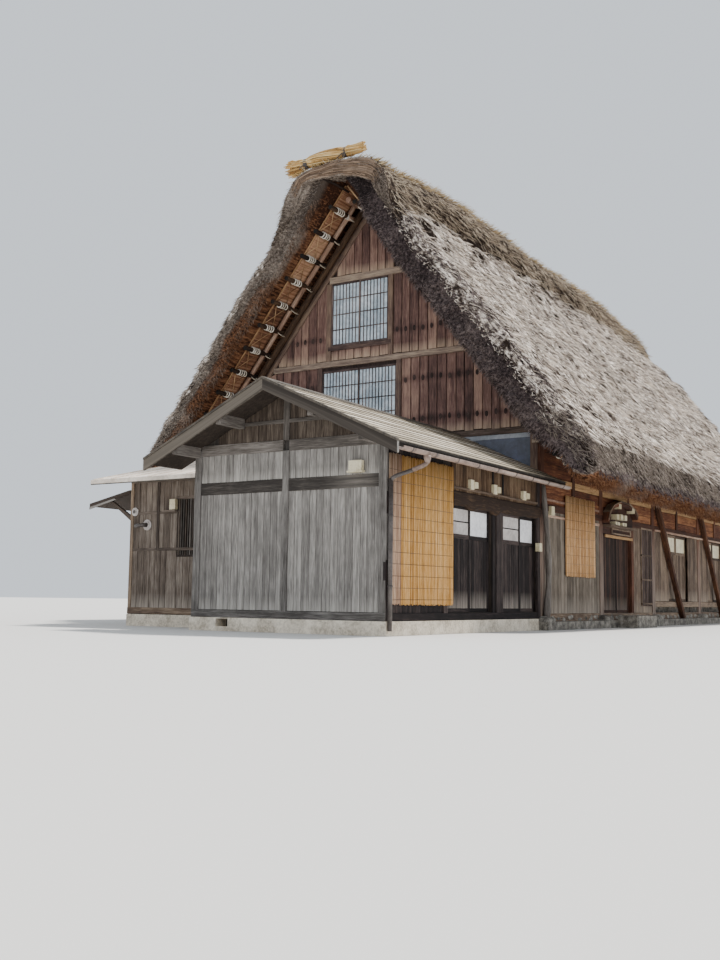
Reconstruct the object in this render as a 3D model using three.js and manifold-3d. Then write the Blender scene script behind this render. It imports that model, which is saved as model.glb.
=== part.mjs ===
// A thatched minka farmhouse with a steep pole-framed roof and a boarded front annex.
// Millimetres, +Z up, ground at Z = 0. The ridge runs along Y and the front gable faces -Y.
import * as THREE from 'three';
import { mergeVertices } from 'three/addons/utils/BufferGeometryUtils.js';
import Module from 'manifold-3d';

const wasm = await Module();
wasm.setup();

const seat = 0.3;               // gap kept where one piece rests on another
const running = 5;              // clearance round a sliding door
const sink = 5;                 // how far joined timbers run into each other
const past = 1;                 // how far a cutting block runs past a face

// Main house
const halfWidth = 3845;         // ridge line to the outer face of the side posts
const houseLength = 13850;      // front gable face to back gable face
const postWidth = 200;
const frameProud = 45;          // how far posts and beams stand in front of the boards
const boardWall = 100;          // thickness of the boarded walls
const cornerPost = 150;
const postLines = [100, 3200, 6640, 10480, 13750];      // centres of the side posts, along Y
const strutLines = [1660, 4910, 8560, 12100];           // short posts over the lintel
const strutWidth = 120;

// Levels of the main house
const kerbTop = 150;            // stone kerb under the posts
const sillTop = 300;
const floorUnder = 430;
const floorTop = 550;
const lintel = [2200, 2330];
const rail = [2740, 2880];      // beam along the side walls
const eaveBeamUnder = 3700;
const storeyBand = [3660, 3777];
const tieBeam = [5357, 5476];   // across the gable, between the two windows
const collarBeam = [7150, 7290];        // over the upper window
const gableSill = 90;           // rail under a gable window
const jambWidth = 110;
const rakeWidth = 190;          // board that follows the roof on the gable

const gableWindows = [
  { name: 'upper', x: [-878, 525], z: [5790, collarBeam[0]], from: tieBeam[1], to: collarBeam[0] },
  { name: 'lower', x: [-1088, 733], z: [3980, 5280], from: storeyBand[1], to: tieBeam[0] },
];
const leftWindows = { runs: [[3900, 5700], [7600, 9400], [11200, 13000]], sill: 1100 };
const slatePanel = { x: [420, 3640], under: 2900 };

// Foundations
const kerbOut = 205;            // kerb past the posts
const kerbEnd = 130;
const kerbWide = 650;
const plinthIn = 260;           // plinth back from the posts
const plinthWide = 120;

// Side doors: a bay runs from post to post, the two leaves meet inside it
const sideBays = [
  { name: 'side_door_a', post: 2, meet: 8700, leaf: 830 },
  { name: 'side_door_b', post: 3, meet: 12130, leaf: 800 },
];
const sidePaneUnder = 1790;
const entrance = { to: 5100, sill: 300, head: 1950, jamb: 150 };
const step = { y: [3550, 4850], depth: 415, top: 250 };
const braceWidth = 130;
const braces = [
  { name: 'side_brace_near', top: { y: 6700, z: 2970 }, foot: 8740 },
  { name: 'side_brace_far', top: { y: 10490, z: 2850 }, foot: 12550 },
];

// Main roof: both slopes share one pitch
const pitch = 1.2636;           // rise over run, about 51.6 degrees
const pitchAngle = Math.atan(pitch);
const pitchCos = Math.cos(pitchAngle);
const thatchApex = 8930;        // underside of the thatch on the ridge line
const thatchDepth = 600;        // square to the slope
const overhang = 1240;          // thatch past each gable
const roofEnds = [-overhang, houseLength + overhang];
const eave = { inner: 2700, outerX: 5460, toe: 2750 };
const eaveToe = 60;             // how far the eave's lower corner is drawn in
const verge = { depth: 110, wide: 250, x: [450, 650, 4300, 4700] };     // thatch hanging under the verge
const capFlank = [[1350, 0], [1240, 8570], [1150, 8830], [1040, 9030], [880, 9150], [560, 9215]];
const ridgeTop = 9255;
const shoulder = 580;           // half width of the flat that the cap sits on
const roll = { x: [-1200, 740], radius: 100, back: 130 };

// Poles are eight-sided, and a radius is centre to flat
const poleRadius = 50;
const battenDepth = 30;         // laths between the poles and the thatch
const polePast = 980;           // pole ends past the gable
const poleRise = 445;           // spacing of the roof poles, measured up
const topPole = 8430;
const poleCount = 13;
const slopeLogs = [             // logs down the slope: how far out from the gable, and how deep they lie
  { out: 100, radius: 75, depth: battenDepth + 2 * poleRadius + 63 },
  { out: 270, radius: 60, depth: 60 + seat },
  { out: 800, radius: 22, depth: 22 + seat },
];
const logFoot = 2820;

// Front annex
const annexLeft = 264;
const annexFront = -5477;
const annexBase = 206;          // top of its concrete
const annexSillTop = 355;
const annexFloorTop = 330;
const annexRail = [2117, 2317];
const annexTie = [2726, 2918];
const annexRidge = { x: 2054, z: 3751 };
const annexFall = 0.4656;       // fall over run of the annex roof
const annexRoofThick = 90;
const annexEave = 2300;         // ridge to eave, level
const annexVerge = -6100;
const barge = { thick: 40, lap: 25, deep: 190 };
const purlinEnds = { x: [[1200, 330], [2900, 3780]], half: 50, deep: 130 };
const annexPost = 130;
const gableRail = { x: [1180, 2930], z: [3160, 3230] };
const vent = { x: [780, 1020], z: [70, 190] };
const annexStrip = 250;         // width of the concrete strips
const annexDoorTop = 2040;
const annexDoors = [{ from: -3600, to: -1970 }, { from: -1550, to: -90 }];
const annexPane = [1570, 1975];
const middlePost = [-1850, -1670];

// Gutter along the annex's right eave
const gutter = { radius: 55, wall: 8, outlet: 170, pipe: 36, drop: 2480, bend: 2230, foot: 60 };

// Lean-to on the left of the annex, and the small canopy on its left
const leanLeft = -2100;
const leanFront = -4450;
const leanEave = { y: -5080, z: 2540 };
const leanRise = 0.245;
const leanRoofThick = 60;
const leanRoofLeft = -2500;
const leanWindow = { x: [-930, -560], z: [1235, 2190] };
const canopy = { y: [-4430, -2500], out: 1080, top: 2420, fall: 0.21, thick: 45, bracket: 620, half: 30 };

// Reed screens hung on the outside
const reedThick = 18;
const reedScreens = [
  { name: 'annex_reed_screen', y: [-5430, -3450], z: [430, 2620] },
  { name: 'side_reed_screen', y: [1200, 2800], z: [1000, 2580] },
];

const root = new THREE.Group();
const house = new THREE.Group();
// The origin is midway between the annex verge and the far end of the thatch
house.position.y = -(annexVerge + roofEnds[1]) / 2;
root.add(house);

function finish(color, roughness, metalness = 0) {
  return new THREE.MeshStandardMaterial({ color, roughness, metalness });
}
const thatch = finish('#b3a699', 1);
const straw = finish('#c9a15a', 1);
const darkBoard = finish('#6b4a3c', 0.85);
const plank = finish('#96603a', 0.8);
const greyBoard = finish('#7c766f', 0.9);
const darkDoor = finish('#3a2f29', 0.8);
const paleWood = finish('#a9835c', 0.8);
const roundPole = finish('#6e4a30', 0.85);
const stone = finish('#a8a196', 0.95);
const concrete = finish('#b7aea2', 0.9);
const slate = finish('#4c5059', 0.45, 0.6);
const shoji = finish('#c9d6de', 0.6);
const roofBoard = finish('#b9aa8b', 0.9);
const paleSheet = finish('#d9cfc2', 0.6, 0.2);
const gutterFinish = finish('#8e7468', 0.5, 0.3);
const reed = finish('#cf9a4a', 0.9);

function solidOf(geometry) {
  const bare = geometry.clone();
  bare.deleteAttribute('normal');
  bare.deleteAttribute('uv');
  const merged = mergeVertices(bare, 1e-3);
  return new wasm.Manifold(new wasm.Mesh({
    numProp: 3,
    vertProperties: new Float32Array(merged.attributes.position.array),
    triVerts: new Uint32Array(merged.index.array),
  }));
}

function geometryOf(solid) {
  const mesh = solid.getMesh();
  const geometry = new THREE.BufferGeometry();
  geometry.setAttribute('position', new THREE.BufferAttribute(mesh.vertProperties, 3));
  geometry.setIndex(new THREE.BufferAttribute(mesh.triVerts, 1));
  return geometry;
}

function join(...parts) {
  return geometryOf(parts.map(solidOf).reduce((whole, next) => whole.add(next)));
}

function cut(geometry, ...tools) {
  return geometryOf(tools.map(solidOf).reduce((whole, tool) => whole.subtract(tool), solidOf(geometry)));
}

function block([x0, x1], [y0, y1], [z0, z1]) {
  const box = new THREE.BoxGeometry(x1 - x0, y1 - y0, z1 - z0);
  return box.translate((x0 + x1) / 2, (y0 + y1) / 2, (z0 + z1) / 2);
}

function extrude(outline, depth) {
  const shape = new THREE.Shape(outline.map(([a, b]) => new THREE.Vector2(a, b)));
  return new THREE.ExtrudeGeometry(shape, { depth, bevelEnabled: false });
}

// A section drawn in X and Z, pushed along Y
function alongY(outline, [y0, y1]) {
  return extrude(outline, y1 - y0).rotateX(Math.PI / 2).translate(0, y1, 0);
}

// A section drawn in Y and Z, pushed along X
function alongX(outline, [x0, x1]) {
  const turned = extrude(outline, x1 - x0);
  turned.applyMatrix4(new THREE.Matrix4().set(0, 0, 1, 0, 1, 0, 0, 0, 0, 1, 0, 0, 0, 0, 0, 1));
  return turned.translate(x0, 0, 0);
}

// An eight-sided bar along Y, as round wood is drawn here; radius is centre to flat
function octagon(radius, length) {
  const corner = radius / Math.cos(Math.PI / 8);
  return new THREE.CylinderGeometry(corner, corner, length, 8).rotateY(Math.PI / 8);
}

function poleBetween(from, to, radius) {
  const start = new THREE.Vector3(...from);
  const end = new THREE.Vector3(...to);
  const body = octagon(radius, start.distanceTo(end));
  const turn = new THREE.Quaternion().setFromUnitVectors(
    new THREE.Vector3(0, 1, 0), end.clone().sub(start).normalize());
  return body.applyQuaternion(turn).translate(...start.add(end).multiplyScalar(0.5).toArray());
}

function add(name, geometry, material) {
  const mesh = new THREE.Mesh(geometry, material);
  mesh.name = name;
  house.add(mesh);
}

// The same piece on the other side of the ridge line, with its faces turned to point out again
function mirrorX(geometry) {
  const flat = (geometry.index ? geometry.toNonIndexed() : geometry.clone()).scale(-1, 1, 1);
  const points = flat.attributes.position.array;
  for (let i = 0; i < points.length; i += 9) {
    for (let k = 0; k < 3; k += 1) {
      [points[i + k], points[i + 3 + k]] = [points[i + 3 + k], points[i + k]];
    }
  }
  return flat;
}

const grow = ([a, b], by) => [a - by, b + by];
const flip = ([a, b]) => [-b, -a];
const around = (centre, width) => [centre - width / 2, centre + width / 2];

// Height of a plane that lies a given depth below the thatch's underside, and where it meets a level
const roofLine = (x, depth = 0) => thatchApex - depth / pitchCos - pitch * Math.abs(x);
const roofX = (z, depth = 0) => (thatchApex - depth / pitchCos - z) / pitch;
const thatchTop = (x) => roofLine(x, -thatchDepth);
const wallDepth = battenDepth + 2 * poleRadius + 2 * seat;      // walls stop under the poles
const boardFace = halfWidth - frameProud;
const wallInside = boardFace - boardWall;
const boards = [wallInside + seat, boardFace - seat];           // the right wall's thickness, in X
const proud = [boardFace, halfWidth];                           // its posts and rails
const houseEnds = [0, houseLength];
const boardEnds = grow(houseEnds, -(frameProud + seat));
const plateTop = roofLine(halfWidth, wallDepth) - seat;
const annexTop = (x) => annexRidge.z - annexFall * Math.abs(x - annexRidge.x);
const annexUnder = (x) => annexTop(x) - annexRoofThick - seat;
const leanTop = (y) => leanEave.z + leanRise * (y - leanEave.y);

const sideDoors = sideBays.map((bay) => ({
  ...bay,
  from: postLines[bay.post] + postWidth / 2,
  to: postLines[bay.post + 1] - postWidth / 2,
}));
const entranceFrom = postLines[1] + postWidth / 2;

function foundations() {
  const kerb = [halfWidth + kerbOut, houseLength + kerbEnd];
  const kerbRing = cut(
    block([-kerb[0], kerb[0]], [-kerbEnd, kerb[1]], [0, kerbTop]),
    block(grow([-kerb[0], kerb[0]], -kerbWide), grow([-kerbEnd, kerb[1]], -kerbWide),
      [-past, kerbTop + past]));
  const plinth = [-(halfWidth - plinthIn), halfWidth - plinthIn];
  const plinthEnds = grow(houseEnds, -plinthIn);
  const plinthRing = cut(
    block(plinth, plinthEnds, [kerbTop - past, floorUnder]),
    block(grow(plinth, -plinthWide), grow(plinthEnds, -plinthWide), [0, floorUnder + past]));
  add('main_foundation', join(kerbRing, plinthRing), stone);
  add('main_floor', block([-wallInside + seat, wallInside - seat],
    grow(houseEnds, -(frameProud + boardWall + seat)), [floorUnder + seat, floorTop]), paleWood);

  const lip = 20;
  const top = annexBase - seat;
  const back = -kerbEnd - seat;
  const strips = [
    block([annexLeft - lip, halfWidth + lip], [annexFront - lip, annexFront + annexStrip], [0, top]),
    block([halfWidth - annexStrip, halfWidth + lip], [annexFront, back], [0, top]),
    block([annexLeft - lip, annexLeft + annexStrip], [annexFront, back], [0, top]),
    block([leanLeft - lip, annexLeft], [leanFront - lip, leanFront + annexStrip], [0, top]),
    block([leanLeft - lip, leanLeft + annexStrip], [leanFront, back], [0, top]),
  ];
  const ventHole = block(vent.x, [annexFront - 2 * lip, annexFront + annexStrip + lip], vent.z);
  add('annex_foundation', cut(join(...strips), ventHole), concrete);
  add('annex_floor', block([annexLeft + boardWall + seat, wallInside - seat],
    [annexFront + frameProud + boardWall + seat, -seat], [annexBase, annexFloorTop]), paleWood);
}

// A pair of sliding sashes made as one panel: stiles and rails round two thin panes
function sash({ x, z }, [y0, y1]) {
  const stile = 55;
  const recess = (y1 - y0) * 0.35;
  const middle = (x[0] + x[1]) / 2;
  const panes = [[x[0] + stile, middle - stile / 2], [middle + stile / 2, x[1] - stile]];
  const height = grow(z, -stile);
  return cut(block(grow(x, -seat), [y0, y1], grow(z, -seat)), ...panes.flatMap((pane) => [
    block(pane, [y0 - past, y0 + recess], height),
    block(pane, [y1 - recess, y1 + past], height),
  ]));
}

// The timber frame on the face of a gable; span turns depths behind the face into Y
function gableFrame(span) {
  const reach = boardFace - seat;
  const inset = reach - cornerPost;
  const depth = wallDepth + rakeWidth;
  const face = span(0, frameProud);
  const through = span(-past, frameProud + past);
  const outline = [[-reach, kerbTop + seat], [reach, kerbTop + seat],
    [reach, roofLine(reach, wallDepth)], [0, roofLine(0, wallDepth)], [-reach, roofLine(reach, wallDepth)]];
  const lower = block([-inset, inset], through, [sillTop, storeyBand[0]]);
  const upper = [[-inset, storeyBand[1]], [inset, storeyBand[1]],
    [inset, roofLine(inset, depth)], [0, roofLine(0, depth)], [-inset, roofLine(inset, depth)]];
  const ring = cut(alongY(outline, face), lower, alongY(upper, through));
  const beams = [tieBeam, collarBeam].map((z) => {
    const end = roofX(z[1], depth) + 4 * sink;
    return block([-end, end], face, z);
  });
  const jambs = gableWindows.flatMap(({ x, z, from, to }) => [
    block([x[0] - jambWidth, x[0]], face, grow([from, to], sink)),
    block([x[1], x[1] + jambWidth], face, grow([from, to], sink)),
    block(grow(x, jambWidth / 2), face, [z[0] - gableSill, z[0]]),
  ]);
  return join(ring, ...beams, ...jambs);
}

// One boarded gable end; inward is +1 at the front and -1 at the back
function gableEnd(name, face, inward) {
  const span = (a, b) => [face + inward * a, face + inward * b].sort((p, q) => p - q);
  const thickness = span(frameProud + seat, frameProud + boardWall);
  const edge = wallInside - seat;
  add(`${name}_wall_lower`,
    block([-edge, edge], thickness, [kerbTop + seat, storeyBand[0] - seat]), darkBoard);
  const gable = [[-edge, storeyBand[0]], [edge, storeyBand[0]], [edge, roofLine(edge, wallDepth)],
    [0, roofLine(0, wallDepth)], [-edge, roofLine(edge, wallDepth)]];
  const holes = gableWindows.map(({ x, z }) => block(x, span(0, 2 * boardWall), z));
  add(`${name}_gable_wall`, cut(alongY(gable, thickness), ...holes), darkBoard);
  add(`${name}_gable_frame`, gableFrame(span), darkBoard);
  const sashDepth = span(10, frameProud + 40);
  gableWindows.forEach((window) => add(`${name}_window_${window.name}`, sash(window, sashDepth), shoji));
}

function sidePosts() {
  return postLines.map((y) => {
    const [from, to] = around(y, postWidth);
    return [Math.max(0, from), Math.min(houseLength, to)];
  });
}

function rightSide() {
  const strip = [[boards[0], lintel[0] + seat], [boards[1], lintel[0] + seat],
    [boards[1], roofLine(boards[1], wallDepth)], [boards[0], roofLine(boards[0], wallDepth)]];
  add('right_wall_over_doors', alongY(strip, boardEnds), plank);
  const [first, second, third] = sidePosts();
  const panelHeight = [sillTop + seat, lintel[0]];
  add('right_wall_near', block(boards, [first[1] + seat, second[0] - seat], panelHeight), plank);
  add('right_wall_middle',
    block(boards, [entrance.to + entrance.jamb + seat, third[0] - seat], panelHeight), plank);

  const deep = [boards[0], halfWidth];
  const base = kerbTop + seat;
  const posts = sidePosts().flatMap(([from, to]) => [
    block(proud, [from, to], [base, plateTop]),
    block(deep, [Math.max(boardEnds[0], from), Math.min(boardEnds[1], to)], [base, lintel[0]]),
  ]);
  const struts = strutLines.map((y) => block(proud, around(y, strutWidth), [lintel[1] - past, plateTop]));
  const doorsTo = sideDoors[1].to + sink;
  const rails = [
    block(proud, houseEnds, [eaveBeamUnder, plateTop]),
    block(proud, houseEnds, rail),
    block(proud, houseEnds, lintel),
    block(deep, boardEnds, [base, sillTop]),
    block(deep, [sideDoors[0].from - sink, doorsTo], [floorUnder, floorTop + 4 * sink]),
    block(deep, [entrance.to, entrance.to + entrance.jamb], [base, lintel[0]]),
    block(deep, [entranceFrom - sink, entrance.to + sink], [entrance.head, lintel[0]]),
  ];
  const stormBoards = [boardFace, boardFace + 30];
  const fixedLeaves = sideDoors.flatMap(({ from, to, meet, leaf }) => [
    block(stormBoards, [from - sink, meet - leaf], [floorTop, lintel[0] + sink]),
    block(stormBoards, [meet + leaf, to + sink], [floorTop, lintel[0] + sink]),
  ]);
  add('right_wall_frame', join(...posts, ...struts, ...rails, ...fixedLeaves), plank);
}

// A sliding leaf: boards recessed between stiles and rails, with a pane over them where it has one
function leafOf(x, y, z, pane) {
  const stile = 70;
  const skin = 10;
  const recess = (from, to) => [[x[0] - past, x[0] + skin], [x[1] - skin, x[1] + past]].map(
    (depth) => block(depth, grow(y, -stile), [from, to]));
  const panels = pane ? [...recess(z[0] + stile, pane[0] - stile), ...recess(...pane)]
    : recess(z[0] + stile, z[1] - stile);
  return cut(block(x, y, z), ...panels);
}

// Two leaves that pass each other on a double track
function slidingPair(name, outside, { from, to }, z, pane, lap) {
  const thick = 30;
  const track = thick + 2 * running;
  const middle = (from + to) / 2;
  const near = [outside - thick, outside];
  add(`${name}_near`, leafOf(near, [from + running, middle + lap], z, pane), darkDoor);
  add(`${name}_far`, leafOf(near.map((x) => x - track), [middle - lap, to - running], z, pane), darkDoor);
}

function rightDoors() {
  const inside = [wallInside + 25, wallInside + 57];
  const lap = 30;
  const height = [floorTop + 4 * sink + seat, lintel[0] - running];
  const pane = [sidePaneUnder, height[1] - 50];
  for (const { name, meet, leaf } of sideDoors) {
    add(`${name}_near`, leafOf(inside, [meet - leaf - lap, meet - running], height, pane), plank);
    add(`${name}_far`, leafOf(inside, [meet + running, meet + leaf + lap], height, pane), plank);
  }
  slidingPair('entrance_door', halfWidth - 50, { from: entranceFrom, to: entrance.to },
    [entrance.sill + seat, entrance.head - running], null, 40);
  const stepFace = halfWidth + kerbOut + seat;
  add('entrance_step', block([stepFace, stepFace + step.depth], step.y, [0, step.top]), stone);
}

// A squared brace from the wall frame down to the kerb, outside the posts
function brace({ name, top, foot }) {
  const half = braceWidth / 2;
  const base = kerbTop + seat;
  const outline = [[top.y - half, top.z], [top.y + half, top.z], [foot + half, base], [foot - half, base]];
  add(name, alongX(outline, [halfWidth + seat, halfWidth + 100]), plank);
}

function leftSide() {
  const section = [[-boards[1], sillTop + seat], [-boards[0], sillTop + seat],
    [-boards[0], roofLine(boards[0], wallDepth)], [-boards[1], roofLine(boards[1], wallDepth)]];
  const height = [leftWindows.sill, lintel[0]];
  const holes = leftWindows.runs.map((y) => block(flip(grow(boards, past)), y, height));
  add('left_wall', cut(alongY(section, boardEnds), ...holes), plank);

  const face = flip(proud);
  const base = kerbTop + seat;
  const sill = block([-halfWidth, -boards[0]], boardEnds, [base, sillTop]);
  const posts = sidePosts().map((y) => block(face, y, [base, plateTop]));
  const rails = [[eaveBeamUnder, plateTop], rail, lintel].map((z) => block(face, houseEnds, z));
  const stile = 60;
  const sashes = leftWindows.runs.map((y) => {
    const front = [face[0] + sink, face[1] - seat];
    const middle = (y[0] + y[1]) / 2;
    const panes = [[y[0] + stile, middle - stile / 2], [middle + stile / 2, y[1] - stile]];
    return cut(block(front, y, [height[0], height[1] + sink]),
      ...panes.map((pane) => block([front[0] - past, front[0] + 15], pane, grow(height, -stile))));
  });
  add('left_wall_frame', join(sill, ...posts, ...rails, ...sashes), plank);
}

// An eight-sided log down the right slope, cut off at the ridge line
function slopeLog(y, { radius, depth }) {
  const low = roofX(logFoot, depth);
  const length = (low + 2 * radius) / pitchCos;
  const middle = low / 2 - radius;
  const bar = octagon(radius, length).rotateZ(Math.PI / 2).rotateY(pitchAngle);
  bar.translate(middle, y, thatchApex - depth / pitchCos - pitch * middle);
  return cut(bar, block([-10 * radius, seat], around(y, 4 * radius), [logFoot, ridgeTop]));
}

function mainRoof() {
  const capUnder = thatchTop(shoulder);
  const slope = alongY([
    [seat / 2, thatchApex], [roofX(eave.inner), eave.inner], [eave.outerX - eaveToe, eave.toe],
    [eave.outerX, thatchTop(eave.outerX)], [shoulder, capUnder], [seat / 2, capUnder],
  ], roofEnds);
  const [x0, x1, x2, x3] = verge.x;
  const hang = [[x0, roofLine(x0)], [x1, roofLine(x1, verge.depth)], [x2, roofLine(x2, verge.depth)],
    [x3, roofLine(x3)], [x3, roofLine(x3, -sink)], [x0, roofLine(x0, -sink)]];
  const hangs = [[roofEnds[0], roofEnds[0] + verge.wide], [roofEnds[1] - verge.wide, roofEnds[1]]].map(
    (y) => alongY(hang, y));
  add('thatch_right', join(slope, ...hangs), thatch);
  add('thatch_left', mirrorX(slope), thatch);

  const foot = [capFlank[0][0], thatchTop(capFlank[0][0]) + seat];
  const flank = [foot, ...capFlank.slice(1)];
  const cap = [
    [-shoulder, capUnder + seat], [shoulder, capUnder + seat], ...flank, [0, ridgeTop],
    ...flank.map(([x, z]) => [-x, z]).reverse(),
  ];
  add('ridge_cap', alongY(cap, grow(roofEnds, -20)), thatch);
  const rollY = roofEnds[0] + roll.back;
  const rollZ = ridgeTop + roll.radius + seat;
  add('straw_roll', poleBetween([roll.x[0], rollY, rollZ], [roll.x[1], rollY, rollZ], roll.radius), straw);

  const poleDepth = battenDepth + poleRadius + seat;
  const poles = Array.from({ length: poleCount }, (_, i) => {
    const z = topPole - i * poleRise;
    const body = octagon(poleRadius, houseLength + 2 * polePast).rotateY(pitchAngle);
    return body.translate(roofX(z, poleDepth), houseLength / 2, z);
  });
  const logs = slopeLogs.flatMap((log) => [slopeLog(-log.out, log), slopeLog(houseLength + log.out, log)]);
  const framework = join(...poles, ...logs);
  add('roof_poles_right', framework, roundPole);
  add('roof_poles_left', mirrorX(framework), roundPole);
}

function annexWalls() {
  const front = [annexFront + frameProud + seat, annexFront + frameProud + boardWall];
  const back = [front[1] + seat, -seat];
  const outline = [[annexLeft + seat, annexBase], [boards[1], annexBase], [boards[1], annexUnder(boards[1])],
    [annexRidge.x, annexUnder(annexRidge.x)], [annexLeft + seat, annexUnder(annexLeft)]];
  add('annex_front_wall', alongY(outline, front), greyBoard);
  add('annex_left_wall', block([annexLeft + seat, annexLeft + boardWall], back,
    [annexBase, annexUnder(annexLeft)]), greyBoard);
  const doorways = annexDoors.map(({ from, to }) => block(grow(boards, past), [from, to],
    [annexFloorTop, annexDoorTop]));
  add('annex_right_wall', cut(block([wallInside, boards[1]], back, [annexBase, annexUnder(boards[1])]),
    ...doorways), darkDoor);
}

function annexFrame() {
  const face = [annexFront, annexFront + frameProud];
  const sideRun = [annexFront, -seat];
  const cornerTop = annexUnder(halfWidth);
  const pieces = [
    block([annexLeft, annexLeft + annexPost], face, [annexBase, annexUnder(annexLeft + annexPost)]),
    block(around(annexRidge.x, annexPost - 20), face, [annexBase, annexUnder(annexRidge.x)]),
    block([halfWidth - annexPost, halfWidth], face, [annexBase, annexUnder(halfWidth - annexPost)]),
    block([annexLeft, halfWidth], face, [annexBase, annexSillTop]),
    block([annexLeft, halfWidth], face, annexRail),
    block([annexLeft + annexPost / 2, halfWidth - 2 * annexPost], face, annexTie),
    block(gableRail.x, face, gableRail.z),
    block(proud, [annexFront, annexFront + annexPost], [annexBase, cornerTop]),
    block(proud, [annexDoors[0].from - annexPost, annexDoors[0].from], [annexBase, cornerTop]),
    block(proud, middlePost, [annexBase, cornerTop]),
    block(proud, sideRun, [annexDoorTop, annexDoorTop + 200]),
    block(proud, sideRun, [annexBase, annexFloorTop - 10]),
    block(proud, sideRun, [cornerTop - 120, cornerTop]),
  ];
  const sky = halfWidth * 2;
  const overRoof = alongY([[annexLeft - past, annexUnder(annexLeft - past)],
    [annexRidge.x, annexUnder(annexRidge.x)], [sky, annexUnder(sky)], [sky, sky], [annexLeft - past, sky]],
  [annexVerge, 0]);
  add('annex_frame', cut(join(...pieces), overRoof), greyBoard);
}

function annexRoof() {
  const under = (x) => annexTop(x) - annexRoofThick;
  const run = [annexVerge + barge.thick + seat, -20];
  const stubs = (xs) => xs.map((x) => alongY([
    [x - purlinEnds.half, under(x) - purlinEnds.deep], [x + purlinEnds.half, under(x) - purlinEnds.deep],
    [x + purlinEnds.half, under(x) + 6 * sink], [x - purlinEnds.half, under(x) + 6 * sink]],
  [run[0], annexFront - seat]));
  const edges = [annexRidge.x - annexEave, annexRidge.x + annexEave];
  const slope = (edge, side) => {
    const top = annexRidge.x + side * seat / 2;
    const outline = [[top, annexRidge.z], [top, under(annexRidge.x)],
      [edge, under(edge)], [edge, annexTop(edge)]];
    return alongY(side > 0 ? outline : outline.reverse(), run);
  };
  // The left slope stops at the annex wall where the lean-to roof runs up to it
  const notch = block([edges[0] - past, annexLeft], [annexFront + annexStrip, 0], [0, annexRidge.z]);
  add('annex_roof_left', join(cut(slope(edges[0], -1), notch), ...stubs(purlinEnds.x[0])), roofBoard);
  add('annex_roof_right', join(slope(edges[1], 1), ...stubs(purlinEnds.x[1])), roofBoard);

  const [left, right] = grow(edges, barge.lap);
  const boardsOutline = [[left, annexTop(left)], [left, annexTop(left) - barge.deep],
    [annexRidge.x, annexRidge.z - barge.deep], [right, annexTop(right) - barge.deep],
    [right, annexTop(right)], [annexRidge.x, annexRidge.z]];
  add('annex_barge_boards', alongY(boardsOutline, [annexVerge, annexVerge + barge.thick]), greyBoard);
  rainPipe(edges[1]);
}

// A half-round gutter under the right eave, with its outlet pipe led to the wall corner
function rainPipe(edge) {
  const { radius, wall, outlet, pipe, drop, bend, foot } = gutter;
  const centre = { x: edge + radius + seat, z: annexTop(edge) - annexRoofThick };
  const steps = 6;
  const arc = (r, from, to) => Array.from({ length: steps + 1 }, (_, i) => {
    const a = from + (to - from) * i / steps;
    return [centre.x + r * Math.cos(a), centre.z + r * Math.sin(a)];
  });
  const section = [...arc(radius, Math.PI, 2 * Math.PI), ...arc(radius - wall, 2 * Math.PI, Math.PI)];
  const outletY = annexFront + outlet;
  const corner = [halfWidth + pipe + 4 * sink, annexFront + 6 * sink];
  const parts = [
    alongY(section, [annexVerge + barge.thick + seat, -6 * sink]),
    poleBetween([centre.x, outletY, centre.z - radius + 2 * sink], [centre.x, outletY, drop], pipe + wall),
    poleBetween([centre.x, outletY, drop + 4 * sink], [...corner, bend], pipe),
    poleBetween([...corner, bend + 4 * sink], [...corner, foot], pipe),
  ];
  add('gutter_and_downpipe', join(...parts), gutterFinish);
}

function leanTo() {
  const inside = (y) => leanTop(y) - leanRoofThick - seat;
  const frontWall = block([leanLeft, annexLeft - seat], [leanFront, leanFront + boardWall],
    [annexBase, inside(leanFront)]);
  const sideWall = alongX([[leanFront, annexBase], [-seat, annexBase], [-seat, inside(0)],
    [leanFront, inside(leanFront)]], [leanLeft, leanLeft + boardWall]);
  const opening = block(leanWindow.x, grow([leanFront, leanFront + boardWall], past), leanWindow.z);
  add('lean_to_walls', cut(join(frontWall, sideWall), opening), darkBoard);

  const back = -4 * sink;
  const section = [[leanEave.y, leanEave.z - leanRoofThick], [back, leanTop(back) - leanRoofThick],
    [back, leanTop(back)], [leanEave.y, leanEave.z]];
  const annexEdge = annexLeft - past;
  const annexMass = alongY([[annexEdge, 0], [2 * annexRidge.x, 0], [2 * annexRidge.x, annexRidge.z],
    [annexRidge.x, annexRidge.z + past], [annexEdge, annexTop(annexEdge) + past]], [annexVerge, 0]);
  add('lean_to_roof', cut(alongX(section, [leanRoofLeft, annexRidge.x]), annexMass), paleSheet);
}

// A slab that falls away from the lean-to's left wall, on two slanted brackets
function sideCanopy() {
  const wall = leanLeft - seat;
  const level = (out) => canopy.top - canopy.fall * out;
  const slab = alongY([[wall, level(0)], [wall - canopy.out, level(canopy.out)],
    [wall - canopy.out, level(canopy.out) - canopy.thick], [wall, level(0) - canopy.thick]], canopy.y);
  const low = level(0) - canopy.bracket;
  const side = 2 * canopy.half;
  const brackets = canopy.y.map((y, i) => alongY([[wall, low], [wall, low + side * 1.5],
    [wall - canopy.bracket, level(canopy.bracket) - canopy.thick / 2],
    [wall - canopy.bracket - side, level(canopy.bracket) - canopy.thick / 2]],
  i === 0 ? [y + side, y + 2 * side] : [y - 2 * side, y - side]));
  add('side_canopy', join(slab, ...brackets), darkBoard);
}

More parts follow.
